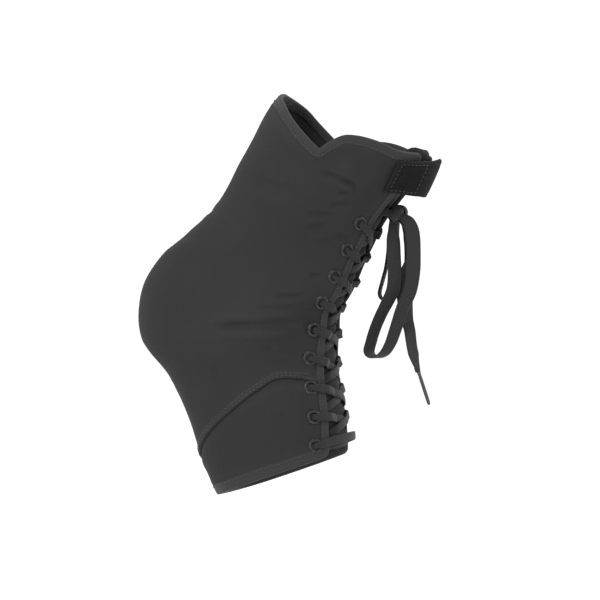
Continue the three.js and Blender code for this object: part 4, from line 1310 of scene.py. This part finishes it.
def tongue_piece():
    low = station_up_edge(TONGUE_SET_BACK)
    high = station_up_edge(EDGE_LENGTH - TONGUE_TOP_DROP)
    up = np.linspace(0, 1, TONGUE_ROWS)[:, None]
    across = np.linspace(-1, 1, TONGUE_COLUMNS)[None]
    station = low + (high - low) * up + 0 * across
    reach = half_gap(station) + TONGUE_TUCK
    length = station_distance(high) - station_distance(low)
    to_end = np.clip(TONGUE_CORNER - np.minimum(up, 1 - up) * length, 0, TONGUE_CORNER)
    reach = reach - TONGUE_CORNER + np.sqrt(TONGUE_CORNER ** 2 - to_end ** 2)
    from_end = np.minimum(up, 1 - up) * (high - low) * SECTION_PITCH
    ends = 1 - np.clip(from_end / TONGUE_END_ROUND, 0, 1) ** 0.5
    edges = np.clip((np.abs(across) - 0.86) / 0.14, 0, 1) ** 2
    base = front_point(station, across * reach, TONGUE_FACE)
    route = np.concatenate([p[0] for p in lace_paths.values()])
    away = np.full(base.shape[:2], 1e9)
    for chunk in np.array_split(route, 40):
        away = np.minimum(away, np.linalg.norm(base[:, :, None] - chunk[None, None], axis=3).min(2))
    puff = np.clip((away - LACE_PRESS) / LACE_PRESS_FADE, 0, 1)
    puff = puff * puff * (3 - 2 * puff)
    inside = np.clip((1 - np.abs(across)) * reach - TONGUE_TUCK + 1.0, 0, 6) / 6
    lift = TONGUE_PUFF * puff * inside + 0.12 * ripple(base, 12, 31)
    squeeze = TONGUE_THICKNESS * 0.5 * np.clip(ends + edges, 0, 1)
    outer = front_point(station, across * reach, TONGUE_FACE + lift - squeeze * 0.8)
    inner = front_point(station, across * reach, TONGUE_FACE - TONGUE_THICKNESS + squeeze)
    uv = np.stack([across * reach, run_up(base)], 2) * UV_PER_MM
    # Painted highlight: the tongue is painted lighter where it puffs up between the laces, and so stays
    # darker, a painted shade, where the laces press it and under the flaps.
    wear_and_highlight = np.clip(0.25 * lift, 0, 1)
    tongue = slab("tongue_pad", outer, inner, TONGUE_CLOTH, uv, {"wear_and_highlight": wear_and_highlight})
    on_root(tongue, "tongue")
    for row in TONGUE_STITCH_ROWS:
        normal = form_normal(station[row], half_round(station[row]) - (across * reach)[row])
        stitch_row(outer[row, 5:-5] + normal[5:-5] * 0.1, normal[5:-5])


tongue_piece()


# The strap across the front, below the top edge
def strap_piece():
    top = EDGE_LENGTH - STRAP_BELOW_TOP
    up = np.linspace(0, 1, STRAP_ROWS)[:, None]
    share = np.linspace(0, 1, STRAP_COLUMNS)[None]
    cut = STRAP_END_CUT * (1 - up)
    outer_end, inner_end = STRAP_OUTER_LENGTH - cut, STRAP_INNER_LENGTH - cut
    from_front = -outer_end + (outer_end + inner_end) * share
    away = np.abs(from_front) / np.where(from_front < 0, outer_end, inner_end)
    station = station_up_edge(top - STRAP_DROP * away - STRAP_WIDTH * (1 - up))
    standoff = STRAP_STANDOFF_BOTTOM + (STRAP_STANDOFF_TOP - STRAP_STANDOFF_BOTTOM) * up
    bridge = standoff * np.cos(away * math.pi / 2) ** 2
    base = front_point(station, from_front, 0)
    to_edge = np.minimum(up, 1 - up) * STRAP_WIDTH
    to_end = np.minimum(share, 1 - share) * (STRAP_OUTER_LENGTH + STRAP_INNER_LENGTH)
    border = np.minimum(to_edge, to_end)
    soft = 0.5 * np.exp(-border / 0.5) + 0.25 * bell(border - 2.0, 0.7)
    wave = 0.25 * ripple(base, 20, 51)
    middle = CLOTH_REST + bridge + STRAP_THICKNESS / 2 + wave * (bridge / 8)
    outer = front_point(station, from_front, middle + STRAP_THICKNESS / 2 - soft)
    inner = front_point(station, from_front, middle - STRAP_THICKNESS / 2 + soft * 0.6)
    uv = np.stack([from_front, run_up(base)], 2) * UV_PER_MM
    wear_and_highlight = 0.9 * np.exp(-border / 1.2)
    strap = slab("top_strap_pile", outer, inner, STRAP, uv, {"wear_and_highlight": wear_and_highlight})
    on_root(strap, "top_strap")
    strap_stitches(outer)


def strap_stitches(face):
    """A sewn rectangle near each end of the strap, set in from its edges."""
    rows, columns = face.shape[:2]
    normal = unit(np.cross(np.gradient(face, axis=1), np.gradient(face, axis=0)))
    outward = face - face.mean((0, 1)) * (0.8, 0, 1)
    normal = -normal if np.sum(normal * outward, 2).mean() < 0 else normal
    low, high = int(rows * 0.1), int(rows * 0.9)
    for first, last in ((0.035, 0.26), (0.74, 0.965)):
        left, right = int(columns * first), int(columns * last)
        path = [(low, c) for c in range(left, right)] + [(r, right) for r in range(low, high)]
        path += [(high, c) for c in range(right, left, -1)] + [(r, left) for r in range(high, low, -1)]
        r, c = np.array(path).T
        stitch_row(face[r, c] + normal[r, c] * 0.05, normal[r, c])


strap_piece()
make_stitches()


# Eyelets with rolled rims
def eyelet_pieces():
    bore, flange = EYELET_BORE / 2, EYELET_FLANGE / 2
    profile = [
        (bore, -WALL - 0.2), (bore + 0.45, -WALL - 0.5), (bore + 1.2, -WALL - 0.42),
        (bore + 1.3, -WALL - 0.1), (bore + 0.5, -WALL + 0.1), (bore + 0.42, -0.2),
        (flange - 0.25, 0.02), (flange, 0.2), (flange, 0.42), (flange - 0.3, 0.68), (flange - 0.9, 0.86),
        (bore + 0.9, 0.92), (bore + 0.35, 0.74), (bore + 0.06, 0.36), (bore, -0.2),
    ]
    sides = 28
    faces = tube_faces(len(profile), sides, True)
    rub = np.repeat([0, 0, 0, 0, 0, 0, 0, 0.3, 0.5, 0.9, 0.5, 0.4, 0.9, 0.4, 0], sides)
    for side_name, side in SIDES.items():
        for i in range(EYELET_COUNT):
            place, normal, up = eyelet_frame(i, side, TOUCH)
            around = ring(sides, np.cross(normal, up), up)
            points = np.array([place + normal * h + around * r for r, h in profile])
            name = f"{side_name}_eyelet_{i + 1}"
            values = {"wear_and_highlight": rub}
            piece = mesh_object(f"{name}_ring", points, faces, ENAMEL, None, values)
            on_root(piece, name)


eyelet_pieces()

# Floor, lights and background
FLOOR_HEIGHT = -175 * MM
FLOOR_REACH = 14


floor_mesh = bpy.data.meshes.new("floor")
floor_mesh.from_pydata(
    [(x * FLOOR_REACH, y * FLOOR_REACH, FLOOR_HEIGHT) for x, y in ((-1, -1), (1, -1), (1, 1), (-1, 1))],
    [],
    [(0, 1, 2, 3)],
)
floor = new_object("floor", floor_mesh)
floor_paint = Wiring("floor_paint").shade({"Base Color": (0.94, 0.94, 0.94, 1), "Roughness": 0.9})
floor_mesh.materials.append(floor_paint)


def area_light(name, place, size, power):
    data = bpy.data.lights.new(name, "AREA")
    data.shape = "DISK"
    data.size = size
    data.energy = power
    light = new_object(name, data)
    light.location = place
    light.rotation_euler = (Vector((0.02, 0, 0.02)) - Vector(place)).to_track_quat("-Z", "Y").to_euler()


area_light("key", (-0.45, -1.3, 1.3), 0.5, 25)
area_light("rim", (1.2, 0.9, 0.9), 0.7, 10)

world = bpy.data.worlds.new("studio")
bpy.context.scene.world = world
world.use_nodes = True
world.node_tree.nodes["Background"].inputs[0].default_value = (1, 1, 1, 1)
world.node_tree.nodes["Background"].inputs[1].default_value = 1.1
bpy.context.scene.view_settings.view_transform = "Standard"
